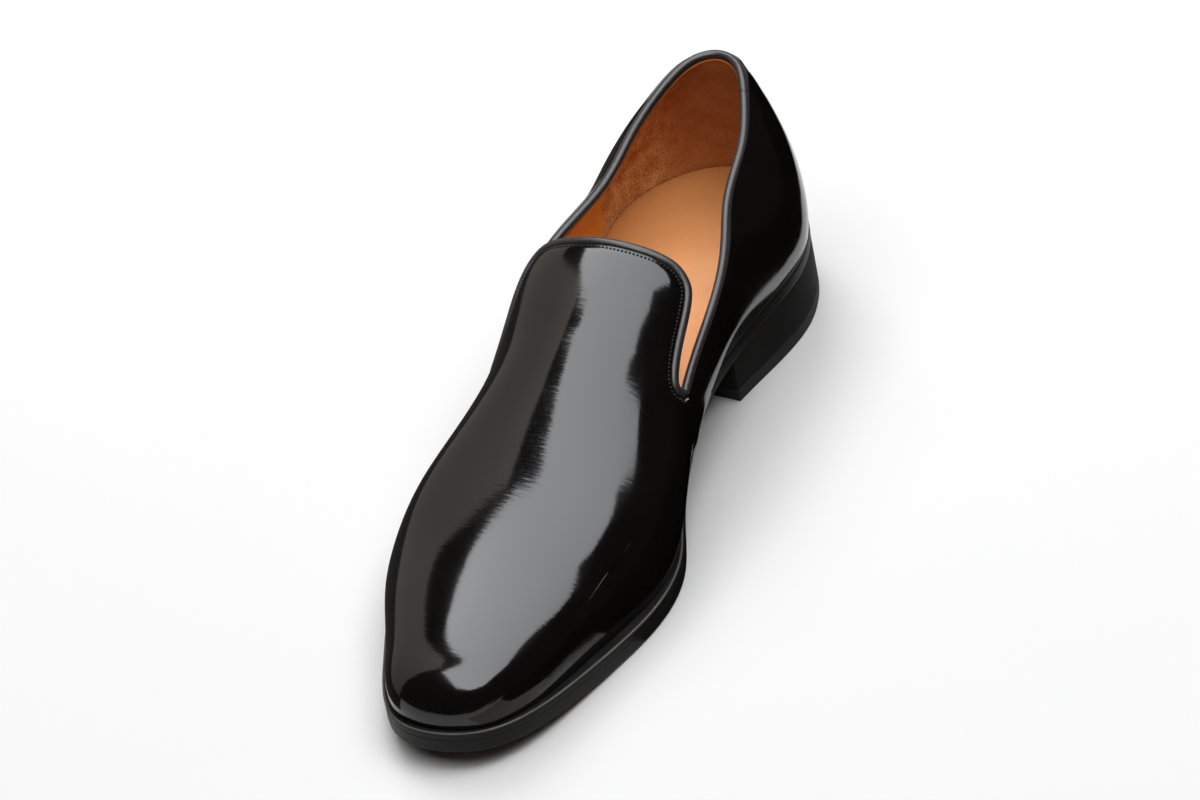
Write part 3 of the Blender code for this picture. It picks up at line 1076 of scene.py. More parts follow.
def search_tree(points: Array) -> KDTree:
    """A search tree of points."""
    tree = KDTree(len(points))
    for i, point in enumerate(points):
        tree.insert(point, i)
    tree.balance()
    return tree


def distances(tree: KDTree, points: Array) -> Array:
    """Distance of each point of a grid from the nearest point in a search tree."""
    flat = [tree.find(point)[2] for point in points.reshape(-1, 3)]
    return np.array(flat).reshape(points.shape[:-1])


@dataclass
class Upper:
    """The patent leather of vamp and quarters, its lining and the strip over the back seam."""

    steps: ToplineSteps = ToplineSteps(96, 10, 56)
    wall_steps: int = 40
    vamp_steps: int = 130
    edge_ease: float = 1.5
    ease_start: float = 0.94
    start: float = 0.0006
    leather: float = 0.0011
    lining: float = 0.0008
    lining_gap: float = 0.00005
    stitch_line: float = 0.0030
    groove_width: float = 0.0006
    groove_depth: float = 0.00008
    puff_reach: float = 0.0034
    puff_width: float = 0.002125
    puff_height: float = 0.00006
    roll_reach: float = 0.0024
    roll_depth: float = 0.00060
    roll_front: tuple[float, float] = (0.085, 0.110)
    nap_front: float = 0.052
    nap_edge: float = 0.0006
    nap_thickness: float = 0.00035
    raw_width: float = 0.0030
    raw_solid: float = 0.0024
    # How the nap's painted light grows from the back, and how much of it every place keeps.
    brush_reach: float = 0.030
    brush_least: float = 0.22
    trough_radius: float = 0.045
    strip_foot_half: float = 0.0050
    strip_top_half: float = 0.0036
    strip_rise: float = 0.0011
    strip_tuck: float = 0.0012
    strip_rows: int = 60
    strip_columns: int = 14
    strip_samples: int = 80
    strip_turn: float = 0.7
    strip_seam: float = 0.72
    strip_groove: float = 0.1
    strip_edge_power: int = 8
    strip_rim: float = 0.99
    strip_sink: float = 0.0002
    troughs: tuple[Trough, ...] = rows_of(
        Trough,
        (0.150, 4.0, 0.004, 0.030, 0.0, 0.00008),
        (0.172, -14.0, 0.006, 0.024, 12.0, 0.00008),
        (0.196, 10.0, 0.007, 0.022, -10.0, -0.00008),
        (0.228, -20.0, 0.012, 0.010, 30.0, 0.00008),
        (0.128, 36.0, 0.009, 0.006, 20.0, 0.00003),
        (0.128, -36.0, 0.009, 0.006, -20.0, 0.00003),
    )

    def patches(self, coarser: int = 1) -> list[Patch]:
        """Grids over the whole upper.

        Args:
            coarser: How many times fewer steps to take.

        Returns:
            Quarter and vamp on each side.
        """
        steps = ToplineSteps(*(count // coarser for count in self.steps))
        walls, vamp = self.wall_steps // coarser, self.vamp_steps // coarser
        corner = steps.quarter + steps.notch - 1
        wall = 1 - (1 - np.linspace(0, 1, walls + 1)) ** self.edge_ease
        patches = []
        for side in Side:
            shares, climbs = LAST.moved_into_wall(side, steps, self.start)
            tops = np.maximum.accumulate(shares[: corner + 1])
            spread = turned(np.linspace(0, round_ends(tops[-1]), corner + 1))
            columns = spread[:, None] + (tops - spread)[:, None] * wall[None] ** 2
            feet = LAST.foot_angle(columns)
            angles = (climbs[: corner + 1, None] + feet) * wall[None] - feet
            patches.append(Patch(columns, angles, side))

            starts = np.concatenate([columns[-1, :-1], tops[-1:], shares[corner + 1 :]])
            start_angles = np.concatenate([angles[-1, :-1], climbs[corner:]])
            feet = LAST.foot_angle(starts)
            levels = ((start_angles + feet) / (RIDGE_ANGLE + feet))[:, None]
            near_notch = smooth_step(np.arange(len(starts)) / walls, self.ease_start, 1.0)
            ease = 1 + (self.edge_ease - 1) * near_notch
            run = np.linspace(0, 1, vamp + 1)[None] ** ease[:, None]
            levels = levels + (np.linspace(0, 1, len(starts))[:, None] - levels) * run
            first = round_ends(starts)[:, None]
            along = turned(first + (math.pi - first) * run)
            feet = LAST.foot_angle(along)
            patches.append(Patch(along, levels * (RIDGE_ANGLE + feet) - feet, side))
        return patches

    def topline_tree(self) -> KDTree:
        """A search tree of points along the topline, on the outside of both sides."""
        lines = [LAST.points(*LAST.topline(side, FINE_STEPS), side) for side in Side]
        return search_tree(np.concatenate(lines))

    def relief(self, patch: Patch, to_edge: Array) -> Array:
        """How far the leather stands out from the last: rolled edge, seam groove, puff and soft troughs.

        Args:
            patch: Places on the upper.
            to_edge: Their distances from the topline.

        Returns:
            The distances, outward above 0.
        """
        past_stitches = to_edge - self.stitch_line
        out = -self.groove_depth * bell(past_stitches, self.groove_width)
        out += self.puff_height * bell(past_stitches - self.puff_reach, self.puff_width)
        back = LAST.back_of(patch.shares)
        out -= self.roll_depth * bell(to_edge, self.roll_reach) * smooth_step(back, *self.roll_front)
        turn = patch.side.value * (RIDGE_ANGLE - patch.climbs)
        for trough in self.troughs:
            along = back - trough.back
            across = (turn - math.radians(trough.around)) * self.trough_radius
            c, s = math.cos(math.radians(trough.turn)), math.sin(math.radians(trough.turn))
            first, second = along * c + across * s, across * c - along * s
            out -= trough.depth * bell(first, trough.half_length) * bell(second, trough.half_width)
        return out

    def make_leather(self, tree: KDTree, material: Material) -> Piece:
        """The patent leather of vamp and quarters."""
        sheet = SheetMaker()
        for patch in self.patches():
            point, _, _, normal = LAST.frame_at(*patch)
            out = self.relief(patch, distances(tree, point))
            sheet.grid(point + normal * out[..., None], flip=patch.side is Side.INNER)
        return thicken(new_piece(sheet.mesh("vamp_and_quarters"), material), self.leather)

    def nap(self, share: Array) -> Array:
        """Where the lining is napped: 1 round the heel, 0 in front."""
        limits = self.nap_front - self.nap_edge, self.nap_front + self.nap_edge
        return 1 - smooth_step(LAST.back_of(share), *limits)

    def lining_depth(self, share: Array) -> Array:
        """How deep the lining's face lies under the last's surface; more where it is napped."""
        return self.leather + self.lining + self.lining_gap + self.nap_thickness * self.nap(share)

    def make_lining(self, tree: KDTree, material: Material) -> Piece:
        """The lining inside the upper, thicker where the napped heel grip lies."""
        sheet = SheetMaker()
        for patch in self.patches(2):
            point, _, _, normal = LAST.frame_at(*patch)
            raw = 1 - smooth_step(distances(tree, point), self.raw_solid, self.raw_width)
            face = point - normal * self.lining_depth(patch.shares)[..., None]
            # Painted light on the nap: full on the inner wall past the back of the heel, faint elsewhere.
            reach = smooth_step(LAST.back_of(patch.shares), 0.0, self.brush_reach)
            brushed = np.maximum(reach * (patch.side is Side.INNER), self.brush_least)
            nap = self.nap(patch.shares)
            sheet.grid(face, flip=patch.side is Side.OUTER, nap=nap, raw=raw, brushed=brushed)
        return thicken(new_piece(sheet.mesh("lining"), material), self.lining)

    def strip_line(self, across: float, side: Side) -> Pair:
        """A line up the back strip.

        Args:
            across: How far off the back seam it lies, as a share of the strip's half width.
            side: The side it lies on.

        Returns:
            Points on the upper and their outward normals, from foot to topline.
        """
        trial = turned(np.linspace(0, self.strip_turn, self.strip_samples))
        backs = LAST.back_of(trial)
        low = LAST.wall_foot(backs)
        high = spline(column(COLLAR, "back"), column(COLLAR, side.column), backs) - self.strip_tuck
        points, normals = [], []
        for level in np.linspace(0, 1, self.strip_rows + 1):
            climbs = LAST.climb_angle(trial, low + (high - low) * level)
            reach = arc_lengths(LAST.points(trial, climbs, side))
            half = self.strip_foot_half + (self.strip_top_half - self.strip_foot_half) * level
            share = np.interp(across * half, reach, trial)
            climb = np.interp(across * half, reach, climbs)
            point, _, _, normal = LAST.frame_at(np.array([share]), np.array([climb]), side)
            points.append(point[0])
            normals.append(normal[0])
        return np.array(points), np.array(normals)

    def make_back_strip(self, material: Material) -> Piece:
        """The strip over the back seam, with soft edges and a stitch groove along each."""
        sheet = SheetMaker()
        for side in Side:
            rows = []
            for across in turned(np.linspace(0, RIDGE_ANGLE, self.strip_columns + 1)) * 2:
                points, normals = self.strip_line(across, side)
                rise = self.strip_rise * (1 - across**self.strip_edge_power)
                rise -= self.groove_depth * bell(across - self.strip_seam, self.strip_groove)
                rows.append(points + normals * (rise - self.strip_sink * (across > self.strip_rim)))
            sheet.grid(np.stack(rows), flip=side is Side.OUTER)
        return thicken(new_piece(sheet.mesh("back_strip"), material), self.strip_rise)


@dataclass
class Binding:
    """The leather strip rolled over the topline."""

    half_width: float = 0.0017
    half_depth: float = 0.0016
    section_steps: int = 20
    loop_steps: int = 900
    wrinkle_length: float = 0.0012
    wrinkle_depth: float = 0.00010
    wrinkle_reach: float = 0.006
    join_back: float = 0.022
    join_width: float = 0.0003
    join_depth: float = 0.00035

    def loop(self) -> tuple[Array, Array, Array]:
        """Middle of the topline's edge: points, normals and inward directions, evenly spaced."""
        runs = []
        for side in Side:
            point, _, _, normal = LAST.frame_at(*LAST.topline(side, FINE_STEPS), side)
            runs.append(np.concatenate([point - normal * LAST.upper_wall / 2, normal], axis=1))
        loop = around((runs[0], runs[1]))
        closed = np.concatenate([loop, loop[:1]])
        length = arc_lengths(closed[:, :3])
        even = np.linspace(0, length[-1], self.loop_steps + 1)[:-1]
        loop = np.stack([np.interp(even, length, values) for values in closed.T], axis=1)
        point, normal = loop[:, :3], unit(loop[:, 3:])
        tangent = unit(np.roll(point, -1, axis=0) - np.roll(point, 1, axis=0))
        normal = unit(normal - tangent * (normal * tangent).sum(1, keepdims=True))
        return point, normal, np.cross(normal, tangent)

    def make(self, material: Material) -> Piece:
        """The rolled strip, wrinkled at the notches and joined near the heel."""
        point, normal, inward = self.loop()
        run = arc_lengths(point)
        size = np.ones(len(point))
        for side in Side:
            lowest = int(np.argmin(np.where(point[:, 0] * side.value > 0, point[:, 2], 1)))
            off = run - run[lowest]
            wave = np.cos(off / self.wrinkle_length * 2 * math.pi) ** 3 * bell(off, self.wrinkle_reach)
            size -= self.wrinkle_depth / self.half_depth * wave
        back = LAST.plan_back(point[:, 1])
        join = int(np.argmin(np.where(point[:, 0] > 0, np.abs(back - self.join_back), 1)))
        size -= self.join_depth / self.half_depth * bell(run - run[join], self.join_width)
        angles = np.linspace(0, 2 * math.pi, self.section_steps, endpoint=False)
        across = np.cos(angles)[None, :, None] * inward[:, None] * self.half_width
        out = np.sin(angles)[None, :, None] * normal[:, None] * self.half_depth
        rings = point[:, None] + (across + out) * size[:, None, None]
        sheet = SheetMaker()
        sheet.grid(np.concatenate([rings, rings[:1]]), closed=True)
        return new_piece(sheet.mesh("rolled_binding"), material)


@dataclass
class SoleUnit:
    """Welt, outsole and the sock on the insole board."""

    steps: int = 170
    cross_steps: int = 24
    insole_clearance: float = 0.0011
    heel_front: float = 0.094
    heel_fade: float = 0.112
    lip_low: float = 0.0078
    lip_high: float = 0.00815
    lip_inner: float = 0.0007
    under_low: float = 0.00005
    under_high: float = 0.00016
    welt_edge: tuple[EdgePoint, ...] = rows_of(
        EdgePoint,
        (0.00010, 0.00045, 0.00000),
        (0.00005, 0.00012, 0.00016),
        (0.00004, 0.00005, 0.00060),
        (0.00002, 0.00002, 0.00150),
        (0.00004, 0.00004, 0.00210),
        (0.00018, 0.00018, 0.00252),
        (0.00045, 0.00045, 0.00274),
        (0.00080, 0.00080, 0.00280),
        (0.00125, 0.00125, 0.00276),
        (0.00180, 0.00180, 0.00266),
        (0.00300, 0.00300, 0.00262),
        (0.00600, 0.00600, 0.00262),
        (0.01050, 0.01050, 0.00262),
        (0.01050, 0.01050, 0.00000),
    )
    outsole_edge: tuple[EdgePoint, ...] = rows_of(
        EdgePoint,
        (0.00260, 0.00260, 0.00000),
        (0.00120, 0.00120, 0.00002),
        (0.00060, 0.00060, 0.00010),
        (0.00022, 0.00022, 0.00032),
        (0.00004, 0.00004, 0.00070),
        (0.00000, 0.00000, 0.00120),
        (0.00003, 0.00003, 0.00250),
        (0.00005, 0.00005, 0.00400),
        (0.00006, 0.00012, 0.00510),
        (0.00008, 0.00050, 0.00547),
    )
    sock_edge: tuple[EdgePoint, ...] = rows_of(
        EdgePoint,
        (0.00020, 0.00020, 0.00000),
        (0.00000, 0.00000, 0.00040),
        (0.00000, 0.00000, 0.00220),
        (0.00020, 0.00020, 0.00270),
        (0.00070, 0.00070, 0.00295),
        (0.00160, 0.00160, 0.00300),
    )

    def sole_sides(self, inset: float) -> Pair:
        """The sole's outline in plan, moved inward."""
        return LAST.sole_sides(self.steps, inset)

    def sock_sides(self, inset: float) -> Pair:
        """The sock's outline in plan, clear of the upper's wall, moved inward.

        Args:
            inset: How far inward.

        Returns:
            The outer and the inner side, from heel to toe.
        """
        shares = turned(np.linspace(0, math.pi, self.steps + 1))
        feet = -LAST.foot_angle(shares)
        outline = [LAST.points(shares, feet, side)[:, :2] for side in Side]
        return inset_sides(*outline, LAST.upper_wall + self.insole_clearance + inset)

    def ring(
        self, edge: Sequence[EdgePoint], foot: float, outline: Callable[[float], Pair]
    ) -> tuple[Array, dict[str, Array]]:
        """Loops round an outline, one for each point of an edge's section.

        Args:
            edge: The section.
            foot: Height of its foot above the outsole's underside.
            outline: Gives the outline's sides for a distance inward.

        Returns:
            The loops, and the values at their points: height above the underside, and distance round.
        """
        loops, levels, runs = [], [], []
        for place in edge:
            plan, heel_plan = around(outline(place.inset)), around(outline(place.heel_inset))
            heel = 1 - smooth_step(LAST.plan_back(plan[:, 1:]), self.heel_front, self.heel_fade)
            plan = plan + (heel_plan - plan) * heel
            height = LAST.underside(LAST.plan_back(plan[:, 1])) + foot + place.height
            loops.append(np.concatenate([plan, height[:, None]], axis=1))
            levels.append(np.full(len(plan), foot + place.height))
            runs.append(arc_lengths(plan))
        return np.stack(loops), {"level": np.stack(levels), "run": np.stack(runs)}

    def cap(self, sheet: SheetMaker, loop: Array, lift: float, flip: bool, **values: float) -> None:
        """Close a loop with a face that follows the outsole's underside.

        Args:
            sheet: Takes the face.
            loop: The loop.
            lift: Height of the face above the underside.
            flip: Turn the face round.
            values: Values on the face, by name.
        """
        plan = loop[:, :2]
        outer = plan[: self.steps + 1]
        inner = np.concatenate([plan[:1], plan[: self.steps - 1 : -1]])
        across = np.linspace(0, 1, self.cross_steps + 1)[None, :, None]
        face = outer[:, None] * (1 - across) + inner[:, None] * across
        height = LAST.underside(LAST.plan_back(face[..., 1])) + lift
        sheet.grid(np.concatenate([face, height[..., None]], axis=-1), flip=flip, **values)

    def make_welt(self, material: Material) -> Piece:
        """The welt: a flat ring with a rounded lip that carries a painted highlight in front of the heel.
        """
        loops, values = self.ring(self.welt_edge, LAST.outsole_thickness + LAST.gap, self.sole_sides)
        inset = column(self.welt_edge, "inset")[:, None]
        front = smooth_step(LAST.plan_back(loops[..., 1]), self.heel_front, self.heel_fade)
        # Where the lip's painted highlight lies: the upper rounding of its outer edge, faded out behind
        # the heel's front.
        lip = smooth_step(values["level"], self.lip_low, self.lip_high) * (inset < self.lip_inner)
        values["lip"] = lip * front
        values = {name: np.concatenate([value, value[:1]]) for name, value in values.items()}
        sheet = SheetMaker()
        sheet.grid(np.concatenate([loops, loops[:1]]), closed=True, **values)
        return new_piece(sheet.mesh("welt_ring"), material)

    def make_outsole(self, material: Material) -> Piece:
        """The outsole: inked edge, natural underside, and a top that meets the welt."""
        sheet = SheetMaker()
        loops, values = self.ring(self.outsole_edge, 0.0, self.sole_sides)
        under = 1 - smooth_step(values["level"], self.under_low, self.under_high)
        sheet.grid(loops, closed=True, under=under, **values)
        low, high = self.outsole_edge[0].height, self.outsole_edge[-1].height
        self.cap(sheet, loops[0], low, False, level=low, run=0.0, under=1.0)
        self.cap(sheet, loops[-1], high, True, level=high, run=0.0, under=0.0)
        return new_piece(sheet.mesh("outsole_leather"), material)

    def make_sock(self, material: Material) -> Piece:
        """The sock on the insole board, with a soft upper edge."""
        foot = LAST.edge_height + LAST.gap
        sheet = SheetMaker()
        loops, _ = self.ring(self.sock_edge, foot, self.sock_sides)
        sheet.grid(loops, closed=True)
        self.cap(sheet, loops[0], foot + self.sock_edge[0].height, False)
        self.cap(sheet, loops[-1], foot + self.sock_edge[-1].height, True)
        return new_piece(sheet.mesh("sock"), material)


@dataclass
class Heel:
    """The stacked heel and its top lift."""

    breast: float = 0.32
    breast_hollow: float = 0.004
    lift_thickness: float = 0.0052
    taper: float = 0.0002
    steps: int = 170
    breast_steps: int = 24
    wall_steps: int = 40
    foot_round: float = 0.0005
    cap_rings: int = 4
    seat_gap: float = 0.0001

    def outline(self, inset: float) -> Array:
        """The heel's outline in plan, a closed loop: outer side, hollow breast, inner side."""
        front = self.breast * LAST.sole_length
        sides = []
        for side in LAST.sole_sides(self.steps, inset):
            keep = side[LAST.plan_back(side[:, 1]) < front - inset - TINY]
            sides.append(np.concatenate([keep, [(keep[-1, 0], LAST.plan_y(front - inset))]]))
        across = np.linspace(0, 1, self.breast_steps + 1)[1:-1, None]
        face = sides[0][-1] * (1 - across) + sides[1][-1] * across
        loop = np.concatenate([sides[0], face, sides[1][:0:-1]])
        half = np.abs(loop[:, 0]).max()
        share = LAST.plan_back(loop[:, 1]) / front
        loop[:, 1] += self.breast_hollow * share**3 * (1 - (loop[:, 0] / half) ** 2)
        return loop

    def block(self, low: float, ceiling: Array) -> SheetMaker:
        """A closed block with a flat, rounded foot.

        Args:
            low: Height of the foot.
            ceiling: Height of the top at each point of the outline.

        Returns:
            The block's faces.
        """
        plan = self.outline(self.taper)
        inward = unit(plan.mean(axis=0) - plan)
        run = arc_lengths(plan)
        loops = []
        for drop in turned(np.linspace(0, math.pi, self.wall_steps + 1)):
            height = ceiling - (ceiling - low) * drop
            bevel = np.clip(1 - (height - low) / self.foot_round, 0, 1)
            moved = plan + inward * (self.foot_round * (1 - np.sqrt(1 - bevel**2)))[:, None]
            loops.append(np.concatenate([moved, height[:, None]], axis=1))
        walls = np.stack(loops)
        sheet = SheetMaker()
        sheet.grid(walls, flip=True, closed=True, level=walls[..., 2], run=run[None])
        for loop, flip in ((loops[0], False), (loops[-1], True)):
            middle = loop.mean(axis=0)
            rings = middle + (loop - middle) * np.linspace(1, 0, self.cap_rings + 1)[:, None, None]
            sheet.grid(rings, flip=flip, closed=True, level=0.0, run=0.0)
        return sheet

    def make_stack(self, material: Material) -> Piece:
        """The block of the heel, under the outsole."""
        seat = LAST.underside(LAST.plan_back(self.outline(self.taper)[:, 1])) - self.seat_gap
        return new_piece(self.block(self.lift_thickness + LAST.gap, seat).mesh("stacked_heel"), material)

    def make_lift(self, material: Material) -> Piece:
        """The wearing layer of the heel."""
        flat = np.full(len(self.outline(self.taper)), self.lift_thickness)
        return new_piece(self.block(0.0, flat).mesh("top_lift"), material)


class StitchSizes(NamedTuple):
    """Sizes of a row's stitches, and how far each is turned from the row."""

    pitch: float = 0.00130
    thread: float = 0.00042
    length: float = 0.00118
    slant: float = 0.22


class StitchRow(NamedTuple):
    """Lines to sew along, each as points and outward directions, and the stitches' sizes."""

    lines: list[Pair]
    sizes: StitchSizes


class StitchTree:
    """Geometry Nodes that lay stitches along a line that carries its outward direction."""

    OUTWARD = "outward"
    SEED = 7
    JITTER = 0.06
    BALL = {"Segments": 8, "Rings": 6, "Radius": 0.5}

    def __init__(self) -> None:
        """Build the tree."""
        self.group = bpy.data.node_groups.new("stitch_row", "GeometryNodeTree")
        face = self.group.interface
        face.new_socket("Geometry", in_out="INPUT", socket_type=Socket.SHAPE.value)
        self.names = {}
        for name, value in StitchSizes()._asdict().items():
            socket = face.new_socket(name.title(), in_out="INPUT", socket_type=Socket.VALUE.value)
            socket.default_value = value
            self.names[name] = socket.identifier
        socket = face.new_socket("Material", in_out="INPUT", socket_type=Socket.MATERIAL.value)
        self.names["material"] = socket.identifier
        face.new_socket("Geometry", in_out="OUTPUT", socket_type=Socket.SHAPE.value)
        self.fill(Tree(self.group))

    def fill(self, tree: Tree) -> None:
        """Add the nodes: even points, a turned thread on each, realized, with its material."""
        entry, leave = tree.add("NodeGroupInput"), tree.add("NodeGroupOutput")
        ins = {socket.name: socket for socket in entry.outputs}
        line = tree.add("GeometryNodeMeshToCurve", None, Mesh=ins["Geometry"]).outputs[0]
        even = tree.add("GeometryNodeResampleCurve", {"mode": "LENGTH"}, Curve=line, Length=ins["Pitch"])
        named = {"data_type": "FLOAT_VECTOR"}
        outward = tree.add("GeometryNodeInputNamedAttribute", named, Name=self.OUTWARD).outputs[0]
        tangent = tree.add("GeometryNodeInputTangent").outputs[0]
        along = tree.add("FunctionNodeAlignRotationToVector", {"axis": "X"}, Vector=tangent).outputs[0]
        upright = {"axis": "Z", "pivot_axis": "X"}
        stand = tree.add("FunctionNodeAlignRotationToVector", upright, Rotation=along, Vector=outward)
        jitter = tree.add("FunctionNodeRandomValue", {"data_type": "FLOAT"}, Seed=self.SEED)
        jitter.inputs[2].default_value = -self.JITTER
        jitter.inputs[3].default_value = self.JITTER
        angle = tree.math("ADD", ins["Slant"], jitter.outputs[1])
        turn = tree.add("FunctionNodeAxisAngleToRotation", None, Axis=(0.0, 0.0, 1.0), Angle=angle)
        local = {"rotation_space": "LOCAL"}
        slant = tree.add("FunctionNodeRotateRotation", local, Rotation=stand.outputs[0])
        tree.feed(slant.inputs["Rotate By"], turn.outputs[0])
        ball = tree.add("GeometryNodeMeshUVSphere", None, **self.BALL)
        size = tree.add("ShaderNodeCombineXYZ", None, X=ins["Length"], Y=ins["Thread"], Z=ins["Thread"])
        placed = tree.add("GeometryNodeInstanceOnPoints", None, Points=even.outputs[0])
        tree.feed(placed.inputs["Instance"], ball.outputs[0])
        tree.feed(placed.inputs["Rotation"], slant.outputs[0])
        tree.feed(placed.inputs["Scale"], size.outputs[0])
        whole = tree.add("GeometryNodeRealizeInstances", None, Geometry=placed.outputs[0]).outputs[0]
        smooth = tree.add("GeometryNodeSetShadeSmooth", None, Geometry=whole).outputs[0]
        dressed = tree.add("GeometryNodeSetMaterial", None, Geometry=smooth, Material=ins["Material"])
        tree.feed(leave.inputs[0], dressed.outputs[0])

    def sew(self, name: str, row: StitchRow, material: Material) -> Piece:
        """Lay stitches along lines.

        Args:
            name: The piece's name.
            row: The lines and the stitches' sizes.
            material: The thread's material.

        Returns:
            The stitches as one plain mesh.
        """
        points = np.concatenate([line[0] for line in row.lines])
        outward = np.concatenate([line[1] for line in row.lines])
        edges, start = [], 0
        for line, _ in row.lines:
            edges += [(start + i, start + i + 1) for i in range(len(line) - 1)]
            start += len(line)
        data = bpy.data.meshes.new(name)
        data.from_pydata(points.tolist(), edges, [])
        layer = data.attributes.new(self.OUTWARD, "FLOAT_VECTOR", "POINT")
        layer.data.foreach_set("vector", outward.astype(np.float32).ravel())
        piece = new_piece(data, material)
        sewing = piece.modifiers.new("stitches", "NODES")
        sewing.node_group = self.group
        for label, value in {**row.sizes._asdict(), "material": material}.items():
            sewing[self.names[label]] = value
        return settle(piece)


@dataclass
class Stitching:
    """Rows of stitches: beside the binding outside and inside, down the heel grip and the back strip."""

    upper: Upper
    steps: ToplineSteps = ToplineSteps(300, 40, 240)
    inside_line: float = 0.0042
    depth: float = 0.00014
    grip_offsets: tuple[float, ...] = (-0.0012, -0.0040)
    grip_steps: int = 60
    grip_low: float = 0.25
    grip_high: float = 0.06
    topline_sizes: StitchSizes = StitchSizes(0.00140, 0.00080, 0.00098)
    inside_sizes: StitchSizes = StitchSizes(0.0026, 0.00040, 0.0018, 0.1)
    grip_sizes: StitchSizes = StitchSizes(0.0026, 0.00042, 0.0021, 0.0)
    strip_sizes: StitchSizes = StitchSizes()

    def topline_row(self) -> StitchRow:
        """The row beside the binding, round the whole topline."""
        lines = []
        for side in Side:
            place = LAST.moved_into_wall(side, self.steps, self.upper.stitch_line)
            point, _, _, normal = LAST.frame_at(*place, side)
            lines.append((point[1:] - normal[1:] * self.depth, normal[1:]))
        return StitchRow(lines, self.topline_sizes)

    def inside_row(self) -> StitchRow:
        """The row on the lining, below the binding."""
        lines = []
        for side in Side:
            shares, climbs = LAST.moved_into_wall(side, self.steps, self.inside_line)
            point, _, _, normal = LAST.frame_at(shares, climbs, side)
            face = point - normal * self.upper.lining_depth(shares)[:, None]
            lines.append((face[1:], -normal[1:]))
        return StitchRow(lines, self.inside_sizes)

    def grip_row(self) -> StitchRow:
        """Two rows down the front edge of the heel grip, on each side of the lining."""
        lines = []
        for offset in self.grip_offsets:
            share = LAST.share_of(self.upper.nap_front + offset)
            for side in Side:
                shares, climbs = LAST.topline(side, self.steps)
                top = np.interp(share, shares[: self.steps.quarter], climbs[: self.steps.quarter])
                low = -LAST.foot_angle(np.array(share)) + self.grip_low
                angles = np.linspace(low, top - self.grip_high, self.grip_steps)
                point, _, _, normal = LAST.frame_at(np.full(self.grip_steps, share), angles, side)
                lines.append((point - normal * self.upper.lining_depth(np.array(share)), -normal))
        return StitchRow(lines, self.grip_sizes)

    def strip_row(self) -> StitchRow:
        """The row down each edge of the back strip."""
        lines = []
        for side in Side:
            point, normal = self.upper.strip_line(self.upper.strip_seam, side)
            lines.append((point + normal * (self.upper.strip_rise - self.upper.groove_depth), normal))
        return StitchRow(lines, self.strip_sizes)


class Card(NamedTuple):
    """A card that lies low over the floor, seen only by mirrors: a painted reflection, darker than the
    floor, that the patent mirrors in place of the floor.
    """

    name: str
    height: float
    radiance: float
    tint: Colour
    corners: Corners


class Lamp(NamedTuple):
    """A square soft light that faces the shoe and isn't mirrored: its side, middle and brightness."""

    name: str
    size: float
    place: Place
    radiance: float


